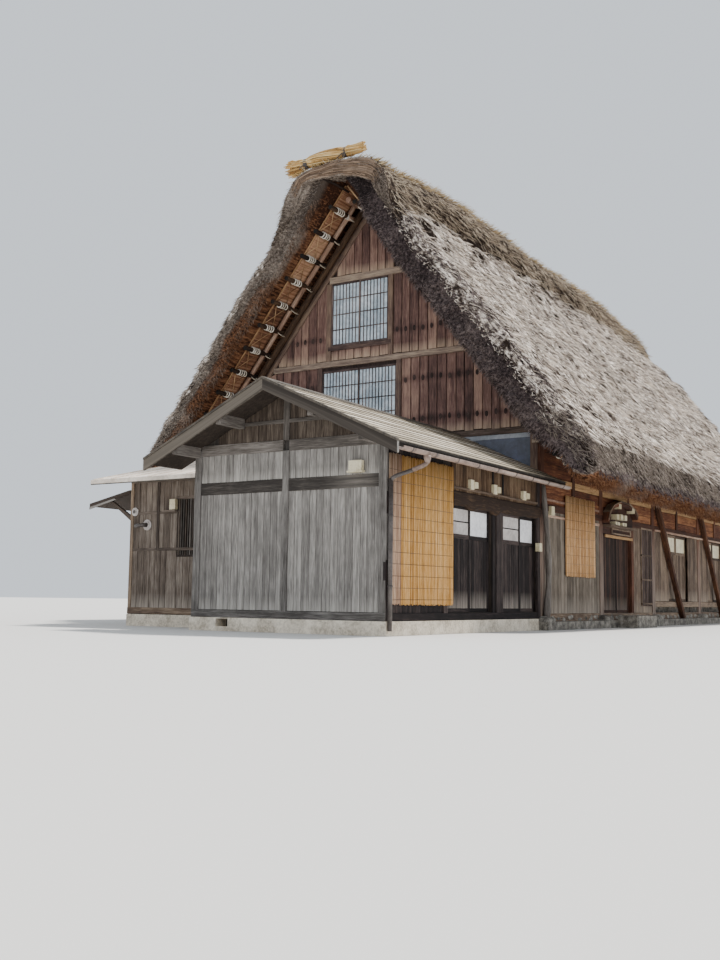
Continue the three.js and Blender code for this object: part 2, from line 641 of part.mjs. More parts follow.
foundations();
gableEnd('front', 0, 1);
gableEnd('back', houseLength, -1);
add('front_wall_panel', block(slatePanel.x, [4 * sink, frameProud],
  [slatePanel.under, storeyBand[0] - seat]), slate);
rightSide();
rightDoors();
braces.forEach(brace);
leftSide();
mainRoof();
annexWalls();
annexFrame();
annexDoors.forEach((doorway, i) => slidingPair(`annex_door_${i + 1}`, halfWidth - 52, doorway,
  [annexFloorTop + seat, annexDoorTop - running], annexPane, 45));
annexRoof();
leanTo();
sideCanopy();
reedScreens.forEach(({ name, y, z }) => {
  add(name, block([halfWidth + seat, halfWidth + reedThick], y, z), reed);
});

export default root;
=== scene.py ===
"""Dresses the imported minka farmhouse: thatch, boards, windows, doors, ropes, reeds and stones.

Metres. Sizes below are measured in the house's own frame, where Y = 0 is the face of the front
gable, X = 0 the ridge line and Z = 0 the ground. Piece.make moves them into the row frame.
"""

import math
import random

import bpy
import numpy as np
from mathutils import Matrix, Vector, noise


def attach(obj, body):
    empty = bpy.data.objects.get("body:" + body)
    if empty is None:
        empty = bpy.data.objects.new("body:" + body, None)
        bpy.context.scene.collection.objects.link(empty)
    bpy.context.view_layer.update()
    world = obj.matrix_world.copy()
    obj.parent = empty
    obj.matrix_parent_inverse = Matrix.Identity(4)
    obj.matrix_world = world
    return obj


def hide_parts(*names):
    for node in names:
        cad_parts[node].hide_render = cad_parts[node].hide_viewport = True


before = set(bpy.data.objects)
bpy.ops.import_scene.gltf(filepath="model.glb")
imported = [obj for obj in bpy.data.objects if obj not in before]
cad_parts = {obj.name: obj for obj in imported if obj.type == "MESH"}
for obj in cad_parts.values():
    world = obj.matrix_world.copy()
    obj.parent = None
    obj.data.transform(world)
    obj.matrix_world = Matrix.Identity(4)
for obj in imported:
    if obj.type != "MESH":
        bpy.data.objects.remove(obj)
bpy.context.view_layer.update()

GABLE = -4.495              # row-frame Y of the front gable face
HOUSE = 13.85               # front gable face to back gable face
HALF = 3.845                # ridge line to the outer face of the side posts
FACE = 0.045                # how far the timbers stand in front of the boards
PITCH = 1.2636              # rise over run of the main roof
SLOPE_COS = 1 / math.hypot(1, PITCH)
APEX = 8.93                 # underside of the thatch on the ridge line
OVERHANG = 1.24             # the thatch past each gable face
ROOF_LONG = HOUSE + 2 * OVERHANG
WALL_TOP_DEPTH = 0.1306     # the walls stop this far under the thatch, below the poles
POLES = 13                  # round poles under each slope
POLE_TOP, POLE_STEP = 8.43, 0.445
POLE_DEPTH = 0.0803
PLATE = 3.86                # top of the side walls
BAND = (3.660, 3.777)       # the gable's level beams, from foot to top
TIE = (5.357, 5.476)
COLLAR = (7.150, 7.290)
POSTS = ((0.0, 0.2), (3.1, 3.3), (6.54, 6.74), (10.38, 10.58), (13.65, 13.85))
STRUTS = (1.66, 4.91, 8.56, 12.10)      # short posts between them, over the lintel
SIDE_BOARDS = (-FACE + 0.001, -0.020)   # how deep a long side's low boards lie
BOARD_FOOT, LINTEL = 0.30, 2.20         # the low boards of a long side
ANNEX_LEFT, ANNEX_FRONT = 0.264, -5.477
ANNEX_RIDGE = (2.054, 3.751)
ANNEX_FALL = 0.4656         # fall over run of the annex roof
ANNEX_DECK = 0.0903         # its thickness, straight down
ANNEX_VERGE = -6.10
LEAN_LEFT, LEAN_FRONT = -2.10, -4.45

chance = random.Random(11)


def roof_line(x, depth=0.0):
    """Height of the plane that lies depth below the thatch's underside."""
    return APEX - depth / SLOPE_COS - PITCH * abs(x)


def roof_x(z, depth=0.0):
    """Where that plane stands at a height, on the right."""
    return (APEX - depth / SLOPE_COS - z) / PITCH


def annex_top(x):
    """Height of the annex roof's deck."""
    return ANNEX_RIDGE[1] - ANNEX_FALL * abs(x - ANNEX_RIDGE[0])


def lean_top(y):
    """Height of the lean-to's sheet roof."""
    return 2.54 + 0.245 * (y + 5.08)


def ease(value, low, high):
    """0 below low, 1 above high, and smooth between."""
    share = np.clip((value - low) / (high - low), 0, 1)
    return share * share * (3 - 2 * share)


def rounding(inset, wide):
    """How far a quarter-round edge falls back, as a share of its depth, at an inset from the edge."""
    return 1 - np.sqrt(np.clip(1 - (1 - np.clip(inset / wide, 0, 1)) ** 2, 0, 1))


# Materials

def linear(colour):
    """An sRGB hex colour as the linear one that shaders take."""
    parts = [int(colour[i:i + 2], 16) / 255 for i in (1, 3, 5)]
    return (*[c / 12.92 if c <= 0.04045 else ((c + 0.055) / 1.055) ** 2.4 for c in parts], 1.0)


def node(tree, kind, sockets=None, stops=None, **settings):
    """Adds a node; a socket takes a value or another node's output, stops are a ramp's colours."""
    made = tree.nodes.new(kind)
    for key, value in settings.items():
        setattr(made, key, value)
    for key, value in (sockets or {}).items():
        if isinstance(value, bpy.types.NodeSocket):
            tree.links.new(value, made.inputs[key])
        else:
            made.inputs[key].default_value = value
    if stops:
        steps = made.color_ramp.elements
        while len(steps) < len(stops):
            steps.new(0.5)
        for step, (place, colour) in zip(steps, stops):
            step.position = place
            step.color = linear(colour)
    return made


def finish_of(name, roughness, metallic=0.0, specular=0.3):
    """An empty material with its shader wired up."""
    made = bpy.data.materials.new(name)
    made.use_nodes = True
    tree = made.node_tree
    tree.nodes.clear()
    shader = node(tree, "ShaderNodeBsdfPrincipled",
                  {"Roughness": roughness, "Metallic": metallic, "Specular IOR Level": specular})
    node(tree, "ShaderNodeOutputMaterial", {"Surface": shader.outputs[0]})
    return made, tree, shader


def timber(name, dark, mid, pale, worn="#a49a8e", roughness=0.82, along=None, fibre_mm=11, relief_mm=1.5):
    """Sawn cedar: fine fibres in long streaks, one tone a board, bleached where rain splashes it.

    Real fibres are under 1 mm wide, so they are drawn as coarse as it takes to show.
    """
    made, tree, shader = finish_of(name, roughness, specular=0.2)
    if along:
        place = node(tree, "ShaderNodeTexCoord").outputs["Object"]
        stretch = tuple(0.045 if axis == along else 1.0 for axis in "XYZ")
    else:
        place = node(tree, "ShaderNodeUVMap", uv_map="grain").outputs["UV"]
        stretch = (1.0, 0.045, 1.0)
    drawn = node(tree, "ShaderNodeVectorMath", {0: place, 1: stretch}, operation="MULTIPLY").outputs[0]
    fibre = node(tree, "ShaderNodeTexNoise",
                 {"Vector": drawn, "Scale": 1000 / fibre_mm, "Detail": 3.0, "Roughness": 0.65}).outputs["Fac"]
    streak = node(tree, "ShaderNodeTexNoise",
                  {"Vector": drawn, "Scale": 1000 / 60, "Detail": 4.0, "Roughness": 0.6}).outputs["Fac"]
    cloud = node(tree, "ShaderNodeTexNoise",
                 {"Vector": place, "Scale": 1000 / 450, "Detail": 3.0}).outputs["Fac"]
    tone = node(tree, "ShaderNodeAttribute", attribute_name="tone").outputs["Fac"]
    mixed = 0.02
    for pattern, share in ((fibre, 0.45), (streak, 0.35), (cloud, 0.18), (tone, 0.10)):
        mixed = node(tree, "ShaderNodeMath", {0: pattern, 1: share, 2: mixed}, operation="MULTIPLY_ADD").outputs[0]
    colour = node(tree, "ShaderNodeValToRGB", {"Fac": mixed},
                  stops=[(0.36, dark), (0.50, mid), (0.64, pale)]).outputs["Color"]
    wear = node(tree, "ShaderNodeAttribute", attribute_name="wear").outputs["Fac"]
    patchy = node(tree, "ShaderNodeMath", {0: streak, 1: 1.7, 2: -0.35}, operation="MULTIPLY_ADD",
                  use_clamp=True).outputs[0]
    bleached = node(tree, "ShaderNodeMath", {0: wear, 1: patchy}, operation="MULTIPLY", use_clamp=True).outputs[0]
    shown = node(tree, "ShaderNodeMix", {0: bleached, 6: colour, 7: linear(worn)}, data_type="RGBA").outputs[2]
    tree.links.new(shown, shader.inputs["Base Color"])
    bump = node(tree, "ShaderNodeBump", {"Height": fibre, "Distance": relief_mm / 1000, "Strength": 0.8})
    tree.links.new(bump.outputs[0], shader.inputs["Normal"])
    return made


def thatch_coat(name, dark, mid, pale, moss, moss_share):
    """Miscanthus reed laid down the slope: rain has combed it into grooves and bleached the tips."""
    made, tree, shader = finish_of(name, 0.95, specular=0.1)
    place = node(tree, "ShaderNodeUVMap", uv_map="grain").outputs["UV"]
    combed = node(tree, "ShaderNodeVectorMath", {0: place, 1: (1.0, 0.22, 1.0)}, operation="MULTIPLY").outputs[0]
    laid = node(tree, "ShaderNodeVectorMath", {0: place, 1: (1.0, 0.4, 1.0)}, operation="MULTIPLY").outputs[0]
    strands = node(tree, "ShaderNodeTexNoise",
                   {"Vector": combed, "Scale": 1000 / 27, "Detail": 4.0, "Roughness": 0.7}).outputs["Fac"]
    bundles = node(tree, "ShaderNodeTexNoise",
                   {"Vector": laid, "Scale": 1000 / 170, "Detail": 5.0, "Roughness": 0.65}).outputs["Fac"]
    patches = node(tree, "ShaderNodeTexNoise",
                   {"Vector": place, "Scale": 1000 / 1300, "Detail": 4.0}).outputs["Fac"]
    tone = node(tree, "ShaderNodeAttribute", attribute_name="tone").outputs["Fac"]
    mixed = -0.37
    for pattern, share in ((strands, 0.60), (bundles, 0.92), (patches, 0.20), (tone, 0.10)):
        mixed = node(tree, "ShaderNodeMath", {0: pattern, 1: share, 2: mixed}, operation="MULTIPLY_ADD").outputs[0]
    # The near-black lowest stop, with the bundles' heavy share, paints the shadows in the gaps between bundles
    colour = node(tree, "ShaderNodeValToRGB", {"Fac": mixed},
                  stops=[(0.38, "#2a211c"), (0.44, dark), (0.50, mid), (0.58, pale)]).outputs["Color"]
    grown = node(tree, "ShaderNodeMath", {0: patches, 1: 4.0, 2: -2.6 + moss_share}, operation="MULTIPLY_ADD",
                 use_clamp=True).outputs[0]
    shown = node(tree, "ShaderNodeMix", {0: grown, 6: colour, 7: linear(moss)}, data_type="RGBA").outputs[2]
    tree.links.new(shown, shader.inputs["Base Color"])
    height = node(tree, "ShaderNodeMath", {0: bundles, 1: 2.0, 2: strands}, operation="MULTIPLY_ADD").outputs[0]
    bump = node(tree, "ShaderNodeBump", {"Height": height, "Distance": 0.03, "Strength": 0.9})
    tree.links.new(bump.outputs[0], shader.inputs["Normal"])
    return made


def cut_reed(name, dark, mid, pale, reed_mm=26):
    """Trimmed thatch: cut stalk ends with dark hollows between them, going over to smoke-brown strokes inside.

    A stalk is about 8 mm thick, and its end is drawn three times as wide so that it shows.
    """
    made, tree, shader = finish_of(name, 0.97, specular=0.05)
    place = node(tree, "ShaderNodeTexCoord").outputs["Object"]
    ends = node(tree, "ShaderNodeTexVoronoi", {"Vector": place, "Scale": 1000 / reed_mm}).outputs["Distance"]
    hollows = node(tree, "ShaderNodeTexNoise",
                   {"Vector": place, "Scale": 1000 / 60, "Detail": 5.0, "Roughness": 0.75}).outputs["Fac"]
    cloud = node(tree, "ShaderNodeTexNoise", {"Vector": place, "Scale": 1000 / 700, "Detail": 3.0}).outputs["Fac"]
    tone = node(tree, "ShaderNodeAttribute", attribute_name="tone").outputs["Fac"]
    mixed = 0.05
    for pattern, share in ((hollows, 0.65), (cloud, 0.30), (ends, -0.08), (tone, 0.07)):
        mixed = node(tree, "ShaderNodeMath", {0: pattern, 1: share, 2: mixed}, operation="MULTIPLY_ADD").outputs[0]
    colour = node(tree, "ShaderNodeValToRGB", {"Fac": mixed},
                  stops=[(0.41, dark), (0.49, mid), (0.59, pale)]).outputs["Color"]
    # Inside, the stalks lie along the ridge's direction and are seen from the side
    laid = node(tree, "ShaderNodeVectorMath", {0: place, 1: (1.0, 0.12, 1.0)}, operation="MULTIPLY").outputs[0]
    strokes = node(tree, "ShaderNodeTexNoise",
                   {"Vector": laid, "Scale": 1000 / 38, "Detail": 4.0, "Roughness": 0.7}).outputs["Fac"]
    shaded = node(tree, "ShaderNodeMath", {0: tone, 1: 0.05, 2: strokes}, operation="MULTIPLY_ADD").outputs[0]
    brown = node(tree, "ShaderNodeValToRGB", {"Fac": shaded},
                 stops=list(zip((0.38, 0.50, 0.64), SMOKED))).outputs["Color"]
    wear = node(tree, "ShaderNodeAttribute", attribute_name="wear").outputs["Fac"]
    ragged = node(tree, "ShaderNodeMath", {0: cloud, 1: 1.1, 2: wear}, operation="MULTIPLY_ADD").outputs[0]
    grey = node(tree, "ShaderNodeMath", {0: ragged, 1: 2.0, 2: -1.35}, operation="MULTIPLY_ADD",
                use_clamp=True).outputs[0]
    shown = node(tree, "ShaderNodeMix", {0: grey, 6: brown, 7: colour}, data_type="RGBA").outputs[2]
    tree.links.new(shown, shader.inputs["Base Color"])
    height = node(tree, "ShaderNodeMath", {0: strokes, 1: 0.5, 2: mixed}, operation="MULTIPLY_ADD").outputs[0]
    bump = node(tree, "ShaderNodeBump", {"Height": height, "Distance": 0.03, "Strength": 0.9})
    tree.links.new(bump.outputs[0], shader.inputs["Normal"])
    return made


def mottled(name, dark, mid, pale, roughness, spot_mm, relief_mm, metallic=0.0, specular=0.3):
    """A surface without a grain: cast, painted or rolled, with soft stains at one size and specks on top."""
    made, tree, shader = finish_of(name, roughness, metallic, specular)
    place = node(tree, "ShaderNodeTexCoord").outputs["Object"]
    stain = node(tree, "ShaderNodeTexNoise",
                 {"Vector": place, "Scale": 1000 / spot_mm, "Detail": 5.0, "Roughness": 0.6}).outputs["Fac"]
    speck = node(tree, "ShaderNodeTexNoise",
                 {"Vector": place, "Scale": 8000 / spot_mm, "Detail": 3.0}).outputs["Fac"]
    tone = node(tree, "ShaderNodeAttribute", attribute_name="tone").outputs["Fac"]
    mixed = 0.0
    for pattern, share in ((speck, 0.3), (stain, 0.7), (tone, 0.08)):
        mixed = node(tree, "ShaderNodeMath", {0: pattern, 1: share, 2: mixed}, operation="MULTIPLY_ADD").outputs[0]
    colour = node(tree, "ShaderNodeValToRGB", {"Fac": mixed},
                  stops=[(0.38, dark), (0.50, mid), (0.64, pale)]).outputs["Color"]
    tree.links.new(colour, shader.inputs["Base Color"])
    bump = node(tree, "ShaderNodeBump", {"Height": mixed, "Distance": relief_mm / 1000, "Strength": 0.6})
    tree.links.new(bump.outputs[0], shader.inputs["Normal"])
    return made


# Smoke from the hearth has browned the stalks inside the roof
SMOKED = ("#301e16", "#664532", "#966d50")
# Thatch: rain has bleached the slopes pale, and the dark gaps between bundles are painted shadow; the ridge is greyer,
# with dull moss
thatch_top = thatch_coat("Miscanthus thatch, weathered", "#463c36", "#a69a8f", "#efe4d8", "#8a8058", 0.0)
ridge_top = thatch_coat("Miscanthus thatch, ridge", "#352b25", "#75675a", "#bdae9a", "#7d7355", 0.05)
# Its trimmed rims: grey stalk ends, pale where bleached; the near-black copy is painted shade for the rims and eave
# faces that turn from the light
cut_pale = cut_reed("Miscanthus thatch, trimmed and bleached", "#4b423c", "#7b7067", "#a3978c")
cut_shaded = cut_reed("Miscanthus thatch, trimmed and damp", "#2b2525", "#4f4546", "#7c706d")
# Stalks laid flat across the cap's end read as brown level courses
cap_layers = timber("Miscanthus thatch, laid flat", "#33271f", "#6d5a4b", "#a08a76", fibre_mm=34, relief_mm=8)
# Fresh straw is the one bright golden thing on the roof; its tips along the ridge are duller
straw = timber("Rice straw, fresh", "#85623a", "#c9a266", "#ecd5a4", fibre_mm=14, roughness=0.9)
straw_tips = mottled("Rice straw, sunned tips", "#7d6849", "#b39c74", "#dcc8a2", 0.9, 90, 2.0)
# Mats between the poles are coarse, warm brown and matt
reed_mat = timber("Split reed mat", "#573c2e", "#976d53", "#c9a283", fibre_mm=60, relief_mm=5)
# Roof poles are sooted nearly black; peeled logs stay light and silky, with soot or fresh wood at their ends
pole = timber("Chestnut pole, smoked", "#140f0c", "#2e211a", "#54402f")
pale_log = timber("Chestnut log, peeled", "#5d4436", "#967867", "#cdb6a2")
soot = mottled("Sooted end grain", "#0f0d0c", "#191614", "#26211e", 0.95, 300, 1.0)
cut_end = timber("Cedar, sawn end", "#7a7068", "#a79d94", "#cdc5bc")
# Rope: bleached white turns that stand out from the dark poles, and thin brown cord
rope = timber("Rice straw rope, bleached", "#a99d8c", "#d9d0c1", "#f4efe6", fibre_mm=6, relief_mm=2)
thin_rope = timber("Twisted straw cord", "#5f4430", "#8f6c4c", "#c3a27c", fibre_mm=6)
# Gable: red-brown boards with fine streaks, smoked posts, paler rain-washed beams, rusty rings round old nails
gable_board = timber("Cedar board, red-brown", "#322624", "#6a504a", "#9b7f70", worn="#c2ab93")
gable_timber = timber("Cedar timber, smoked", "#2c2321", "#574641", "#85705f")
gable_beam = timber("Cedar beam, rain-washed", "#3d332e", "#74645a", "#a89785")
# The wall behind the gable boards, seen only through their gaps, is near black as painted shade
gable_shade_backing = timber("Cedar backing, painted gap shade", "#1c1413", "#2c2220", "#40332f", along="Z")
stain = mottled("Iron stain on cedar", "#241b19", "#352927", "#483a35", 0.9, 60, 0.3)
# Annex front: silver-grey boards and darker grey frame, bleached by rain at the foot
grey_board = timber("Cedar board, silver grey", "#4a4643", "#787470", "#aca7a1", worn="#bdb8b0")
grey_brown = timber("Cedar board, grey-brown", "#3a332c", "#62584d", "#8b8074")
grey_timber = timber("Cedar timber, grey", "#34302d", "#5a544f", "#87807a", worn="#aca49b")
grey_post = timber("Cedar post, silver grey", "#4b4743", "#7d7873", "#b4afa9")
# The annex wall behind its boards is darkened as painted shade in the gaps
grey_shade_backing = timber("Cedar grey backing, painted gap shade", "#2a2725", "#3d3936", "#55504b", along="Z")
eave_board = timber("Cedar barge board, weathered", "#221e1b", "#443e39", "#71695f")
# The annex gable's boards under the barge boards: grey-brown, and darkened further as painted shade from the eave
darker_eave_shade_board = timber("Cedar board, darker, painted eave shade", "#211b17", "#463c34", "#70655a")
# Lean-to: dark brown boards gone grey at the foot
lean_board = timber("Cedar board, dark brown", "#342c27", "#5f544b", "#91867b", worn="#b3a99d")
# The lean-to's wall behind its boards, and the annex roof's deck, are darkened as painted shade
lean_shade_backing = timber("Cedar dark brown backing, painted gap shade", "#1f1b18", "#332c27", "#4a4039", along="Z")
lean_timber = timber("Cedar timber, dark brown", "#2b2420", "#4f453e", "#7b6f65")
# Long sides: orange-brown planks under the eave, browner boards below, oiled braces, one pale beam
side_plank = timber("Cedar plank, orange-brown", "#28160f", "#643a26", "#a06f4a", worn="#9a8571")
side_timber = timber("Cedar timber, brown", "#241511", "#482c20", "#734b39")
# The long sides' wall behind the boards is darkened as painted shade in the gaps
side_shade_backing = timber("Cedar brown backing, painted gap shade", "#24150e", "#3b2418", "#563823", along="Z")
side_board = timber("Cedar board, weathered brown", "#2f251e", "#625246", "#96836f", worn="#a89a8a")
brace_timber = timber("Cedar brace, oiled", "#2e1c16", "#60402c", "#977351")
pale_beam = timber("Cedar beam, pale", "#4a3322", "#80603f", "#b8946a")
# Doors: boards blackened by hands and smoke, faintly brown in the light
door_board = timber("Cedar door board, blackened", "#110e0f", "#251f1f", "#4b403d", worn="#a79d93")
annex_side_board = timber("Cedar board, umber", "#2a1e17", "#54402f", "#86705a")
entrance_board = timber("Cedar door board, red-black", "#15100e", "#2e211c", "#50392f", worn="#8f8377")
# Indoor boards are lighter, with a clear straight grain; the window slats are dark lines
floor_board = timber("Cedar floor board", "#7d5b3a", "#a9835c", "#c9a67c", along="Y")
slat = timber("Cypress window slat, dark", "#2a2322", "#4c403e", "#776864")
# Reed screens: golden where new, dull pink-grey where faded, amber on the side
reed = timber("Golden reed", "#8d6030", "#c4934f", "#e6c08a", fibre_mm=9)
reed_old = timber("Faded reed", "#7e6250", "#ab8a72", "#d6bca4", fibre_mm=9)
reed_side = timber("Amber reed", "#7d5c3a", "#b98c5e", "#e6c397", fibre_mm=9)
# Panes: paper has a soft blue cast, frosted glass is grey and slightly glossy, boards are flat white
paper = mottled("Washi paper, pale blue", "#9fb0bd", "#bac8d3", "#d6e1ea", 0.75, 500, 0.3)
frosted = mottled("Frosted glass", "#a39a95", "#b9b1ac", "#cac4c0", 0.35, 400, 0.2, specular=0.5)
white_board = mottled("White painted board", "#dcdce0", "#efeff2", "#fafafc", 0.5, 500, 0.3)
# Ground: pale dusty concrete, and darker mottled river stone
concrete = mottled("Cast concrete", "#b0a492", "#d4c9b7", "#eee4d2", 0.92, 260, 2.0)
stone = mottled("River stone", "#4c4843", "#77726a", "#a39d93", 0.9, 120, 4.0)
# Painted steel: even colour, a soft sheen and faint stains; the annex courses are chalky beige, and the near-black
# sheet on their steps is painted shade that also serves for dark trim
slate_sheet = mottled("Painted sheet steel, slate", "#4b505c", "#565b68", "#61667a", 0.45, 500, 0.5, specular=0.4)
slate_band = mottled("Painted sheet steel, pale grey", "#868a92", "#9a9ea5", "#b0b3ba", 0.45, 500, 0.5)
annex_sheet = mottled("Painted sheet steel, beige", "#9b8e78", "#bfb29c", "#dfd3c0", 0.6, 700, 1.0)
dark_trim_and_step_shade = mottled("Painted sheet steel, dark trim and painted step shade", "#2e2a26", "#443e37", "#5e564c", 0.6, 300, 0.5)
lean_sheet = mottled("Galvanised sheet, pale", "#c4b8aa", "#dccfc1", "#efe5d8", 0.5, 600, 0.8, specular=0.4)
# Plastic: smooth, even and a little glossy
pipe_plastic = mottled("PVC gutter, brown", "#66554c", "#826e63", "#a08b7f", 0.45, 400, 0.3, specular=0.5)
dark_pipe = mottled("PVC pipe, dark", "#3a3330", "#4b4441", "#5d5551", 0.4, 300, 0.3, specular=0.5)
cream_box = mottled("ABS cover, cream", "#c4b896", "#d8cdad", "#e8dfc4", 0.45, 200, 0.1, specular=0.5)


# Shapes

class Wall:
    """A wall's own directions: w along it, h up it, d out of its face."""

    def __init__(self, origin, across, out):
        self.origin, self.across, self.out = (np.array(v, float) for v in (origin, across, out))

    def at(self, w, h, d):
        return self.origin + self.across * w + np.array((0, 0, h)) + self.out * d


front = Wall((0, 0, 0), (1, 0, 0), (0, -1, 0))
back = Wall((0, HOUSE, 0), (1, 0, 0), (0, 1, 0))
right = Wall((HALF, 0, 0), (0, 1, 0), (1, 0, 0))
left = Wall((-HALF, 0, 0), (0, 1, 0), (-1, 0, 0))
annex_face = Wall((0, ANNEX_FRONT, 0), (1, 0, 0), (0, -1, 0))
verge_face = Wall((0, ANNEX_VERGE, 0), (1, 0, 0), (0, -1, 0))
lean_face = Wall((0, LEAN_FRONT, 0), (1, 0, 0), (0, -1, 0))
lean_side = Wall((LEAN_LEFT, 0, 0), (0, 1, 0), (-1, 0, 0))


class Piece:
    """Gathers closed shapes into one object, each with a tone, a wear and a grain map in metres."""

    def __init__(self):
        self.points, self.faces, self.grain = [], [], []
        self.finishes, self.smooth, self.tones, self.wears = [], [], [], []

    def skin(self, rings, tone=None, finish=0, wear=None, smooth=False, caps=None):
        """Closes a tube of rings, with its grain along the tube."""
        rings = np.asarray(rings, float)
        count, sides = rings.shape[:2]
        middles = rings.mean(axis=1)
        turned = sum(np.cross(rings[0][i] - middles[0], rings[0][(i + 1) % sides] - middles[0])
                     for i in range(sides))
        if np.dot(turned, middles[1] - middles[0]) < 0:
            rings = rings[:, ::-1]
        base = len(self.points)
        self.points.extend(rings.reshape(-1, 3))
        tone = chance.uniform(-1, 1) if tone is None else tone
        self.tones.extend(np.repeat(np.broadcast_to(tone, count), sides))
        wear = [0.0] * count if wear is None else wear
        self.wears.extend(np.repeat(wear, sides))
        girth = np.linalg.norm(np.roll(rings[0], -1, 0) - rings[0], axis=1)
        girth = np.concatenate([[0], np.cumsum(girth)]) + chance.uniform(0, 40)
        reach = np.linalg.norm(np.diff(middles, axis=0), axis=1)
        reach = np.concatenate([[0], np.cumsum(reach)]) + chance.uniform(0, 40)
        for i in range(count - 1):
            for j in range(sides):
                k = (j + 1) % sides
                self.faces.append((base + i * sides + j, base + i * sides + k,
                                   base + (i + 1) * sides + k, base + (i + 1) * sides + j))
                self.grain.extend(((girth[j], reach[i]), (girth[j + 1], reach[i]),
                                   (girth[j + 1], reach[i + 1]), (girth[j], reach[i + 1])))
        last = base + (count - 1) * sides
        self.faces.append(tuple(range(base + sides - 1, base - 1, -1)))
        self.faces.append(tuple(range(last, last + sides)))
        self.grain.extend([(girth[0] + j * 0.01, reach[0]) for j in range(sides)] * 2)
        sheaths = (count - 1) * sides
        self.finishes.extend([finish] * sheaths + [finish if caps is None else caps] * 2)
        self.smooth.extend([smooth] * sheaths + [False] * 2)

    def beam(self, wall, start, end, wide, deep, steps=1, wobble=0.0, chamfer=0.005, **look):
        """A squared timber on a wall, from one (w, h) to the other; deep is its range out of the face."""
        (w0, h0), (w1, h1), (d0, d1) = start, end, deep
        length = math.hypot(w1 - w0, h1 - h0)
        aside = (-(h1 - h0) / length, (w1 - w0) / length)
        c, half = chamfer, wide / 2
        section = [(-half, d0), (-half, d1 - c), (c - half, d1), (half - c, d1), (half, d1 - c), (half, d0)]
        seed = chance.uniform(0, 99)
        rings = []
        for i in range(steps + 1):
            t = i / steps
            sway = noise.noise_vector((seed, t * length * 0.8, 0)) * wobble
            rings.append([wall.at(w0 + (w1 - w0) * t + aside[0] * (s + sway.x),
                                  h0 + (h1 - h0) * t + aside[1] * (s + sway.x),
                                  d + (sway.y if d > d0 else 0)) for s, d in section])
        self.skin(rings, **look)

    def board(self, wall, wide, foot, top, deep, lap=0.0, chamfer=0.003, splash=0.0, bleach=0.0, tone=0.0,
              stains=(), **look):
        """An upright board whose ends follow foot(w) and top(w); lap tips its far edge outwards."""
        (w0, w1), (d0, d1) = wide, deep
        c = chamfer
        plan = [(w0, d0), (w0, d1 - lap - c), (w0 + c, d1 - lap), (w1 - c, d1), (w1, d1 - c), (w1, d0)]
        low, high = max(foot(w0), foot(w1)), min(top(w0), top(w1))
        # (height, tone, wear) of the rings between the ends: darker at a stain, bleached at the foot
        steps = [(low + splash, tone, bleach)] if splash else []
        for h in stains:
            steps += [(h - 0.11, tone, bleach), (h, tone - chance.uniform(0.2, 1.1), bleach), (h + 0.11, tone, bleach)]
        steps = sorted(step for step in steps if low + 0.02 < step[0] < high - 0.02)
        rings = [[wall.at(w, foot(w), d) for w, d in plan]]
        rings += [[wall.at(w, h, d) for w, d in plan] for h, _, _ in steps]
        rings.append([wall.at(w, top(w), d) for w, d in plan])
        self.skin(rings, tone=[tone] + [step[1] for step in steps] + [tone],
                  wear=[1.0 if splash else bleach] + [step[2] for step in steps] + [bleach], **look)

    def boarding(self, wall, span, foot, top, deep, pitch, gap=0.008, rough=0.0, vary=0.7, **look):
        """A row of upright boards over a span, each a little different in width, foot and tone.

        foot and top are heights, or functions that give the height at w.
        """
        foot, top = (limit if callable(limit) else (lambda w, h=limit: h) for limit in (foot, top))
        places = [span[0]]
        while places[-1] < span[1] - pitch * 0.6:
            places.append(min(span[1], places[-1] + pitch * chance.uniform(0.88, 1.12)))
        places[-1] = span[1]
        for w0, w1 in zip(places, places[1:]):
            lift, sink_in = chance.uniform(0, rough), chance.uniform(0, 0.004)
            if min(top(w0), top(w1)) - max(foot(w0), foot(w1)) - lift < 0.06:
                continue
            self.board(wall, (w0 + gap / 2, w1 - gap / 2), lambda w: foot(w) + lift, top,
                       (deep[0], deep[1] - sink_in), tone=chance.uniform(-vary, vary), **look)

    def planking(self, wall, span, low, high, deep, pitch, gap=0.006, vary=0.7, **look):
        """A stack of level planks over a span."""
        levels = [low]
        while levels[-1] < high - pitch * 0.6:
            levels.append(min(high, levels[-1] + pitch * chance.uniform(0.88, 1.12)))
        levels[-1] = high
        for h0, h1 in zip(levels, levels[1:]):
            push = chance.uniform(-0.004, 0.0)
            self.beam(wall, (span[0], (h0 + h1) / 2), (span[1], (h0 + h1) / 2), h1 - h0 - gap,
                      (deep[0], deep[1] + push), 3, 0.003, tone=chance.uniform(-vary, vary), **look)

    def plate(self, wall, outline, deep, **look):
        """A flat plate of any outline on a wall."""
        self.skin([[wall.at(w, h, d) for w, h in outline] for d in deep], **look)

    def slab(self, wall, wide, high, deep, **look):
        self.plate(wall, [(wide[0], high[0]), (wide[1], high[0]), (wide[1], high[1]), (wide[0], high[1])], deep, **look)

    def oval(self, wall, w, h, wide, high, deep, sides=10, **look):
        turns = [2 * math.pi * i / sides for i in range(sides)]
        self.plate(wall, [(w + math.cos(a) * wide / 2, h + math.sin(a) * high / 2) for a in turns], deep, **look)

    def rod(self, path, radius, sides=8, smooth=True, **look):
        """A round bar, rope or pipe along a path; radius is one number or one for each point."""
        path = np.asarray(path, float)
        radii = np.broadcast_to(radius, len(path))
        heading = np.gradient(path, axis=0)
        heading /= np.linalg.norm(heading, axis=1)[:, None]
        aside = np.cross(heading[0], (0.3, 0.2, 0.93))
        rings = []
        for point, ahead, r in zip(path, heading, radii):
            aside = aside - ahead * np.dot(aside, ahead)
            aside /= np.linalg.norm(aside)
            upward = np.cross(ahead, aside)
            turns = 2 * np.pi * np.arange(sides) / sides
            rings.append(point + r * (np.outer(np.cos(turns), aside) + np.outer(np.sin(turns), upward)))
        self.skin(rings, smooth=smooth, **look)

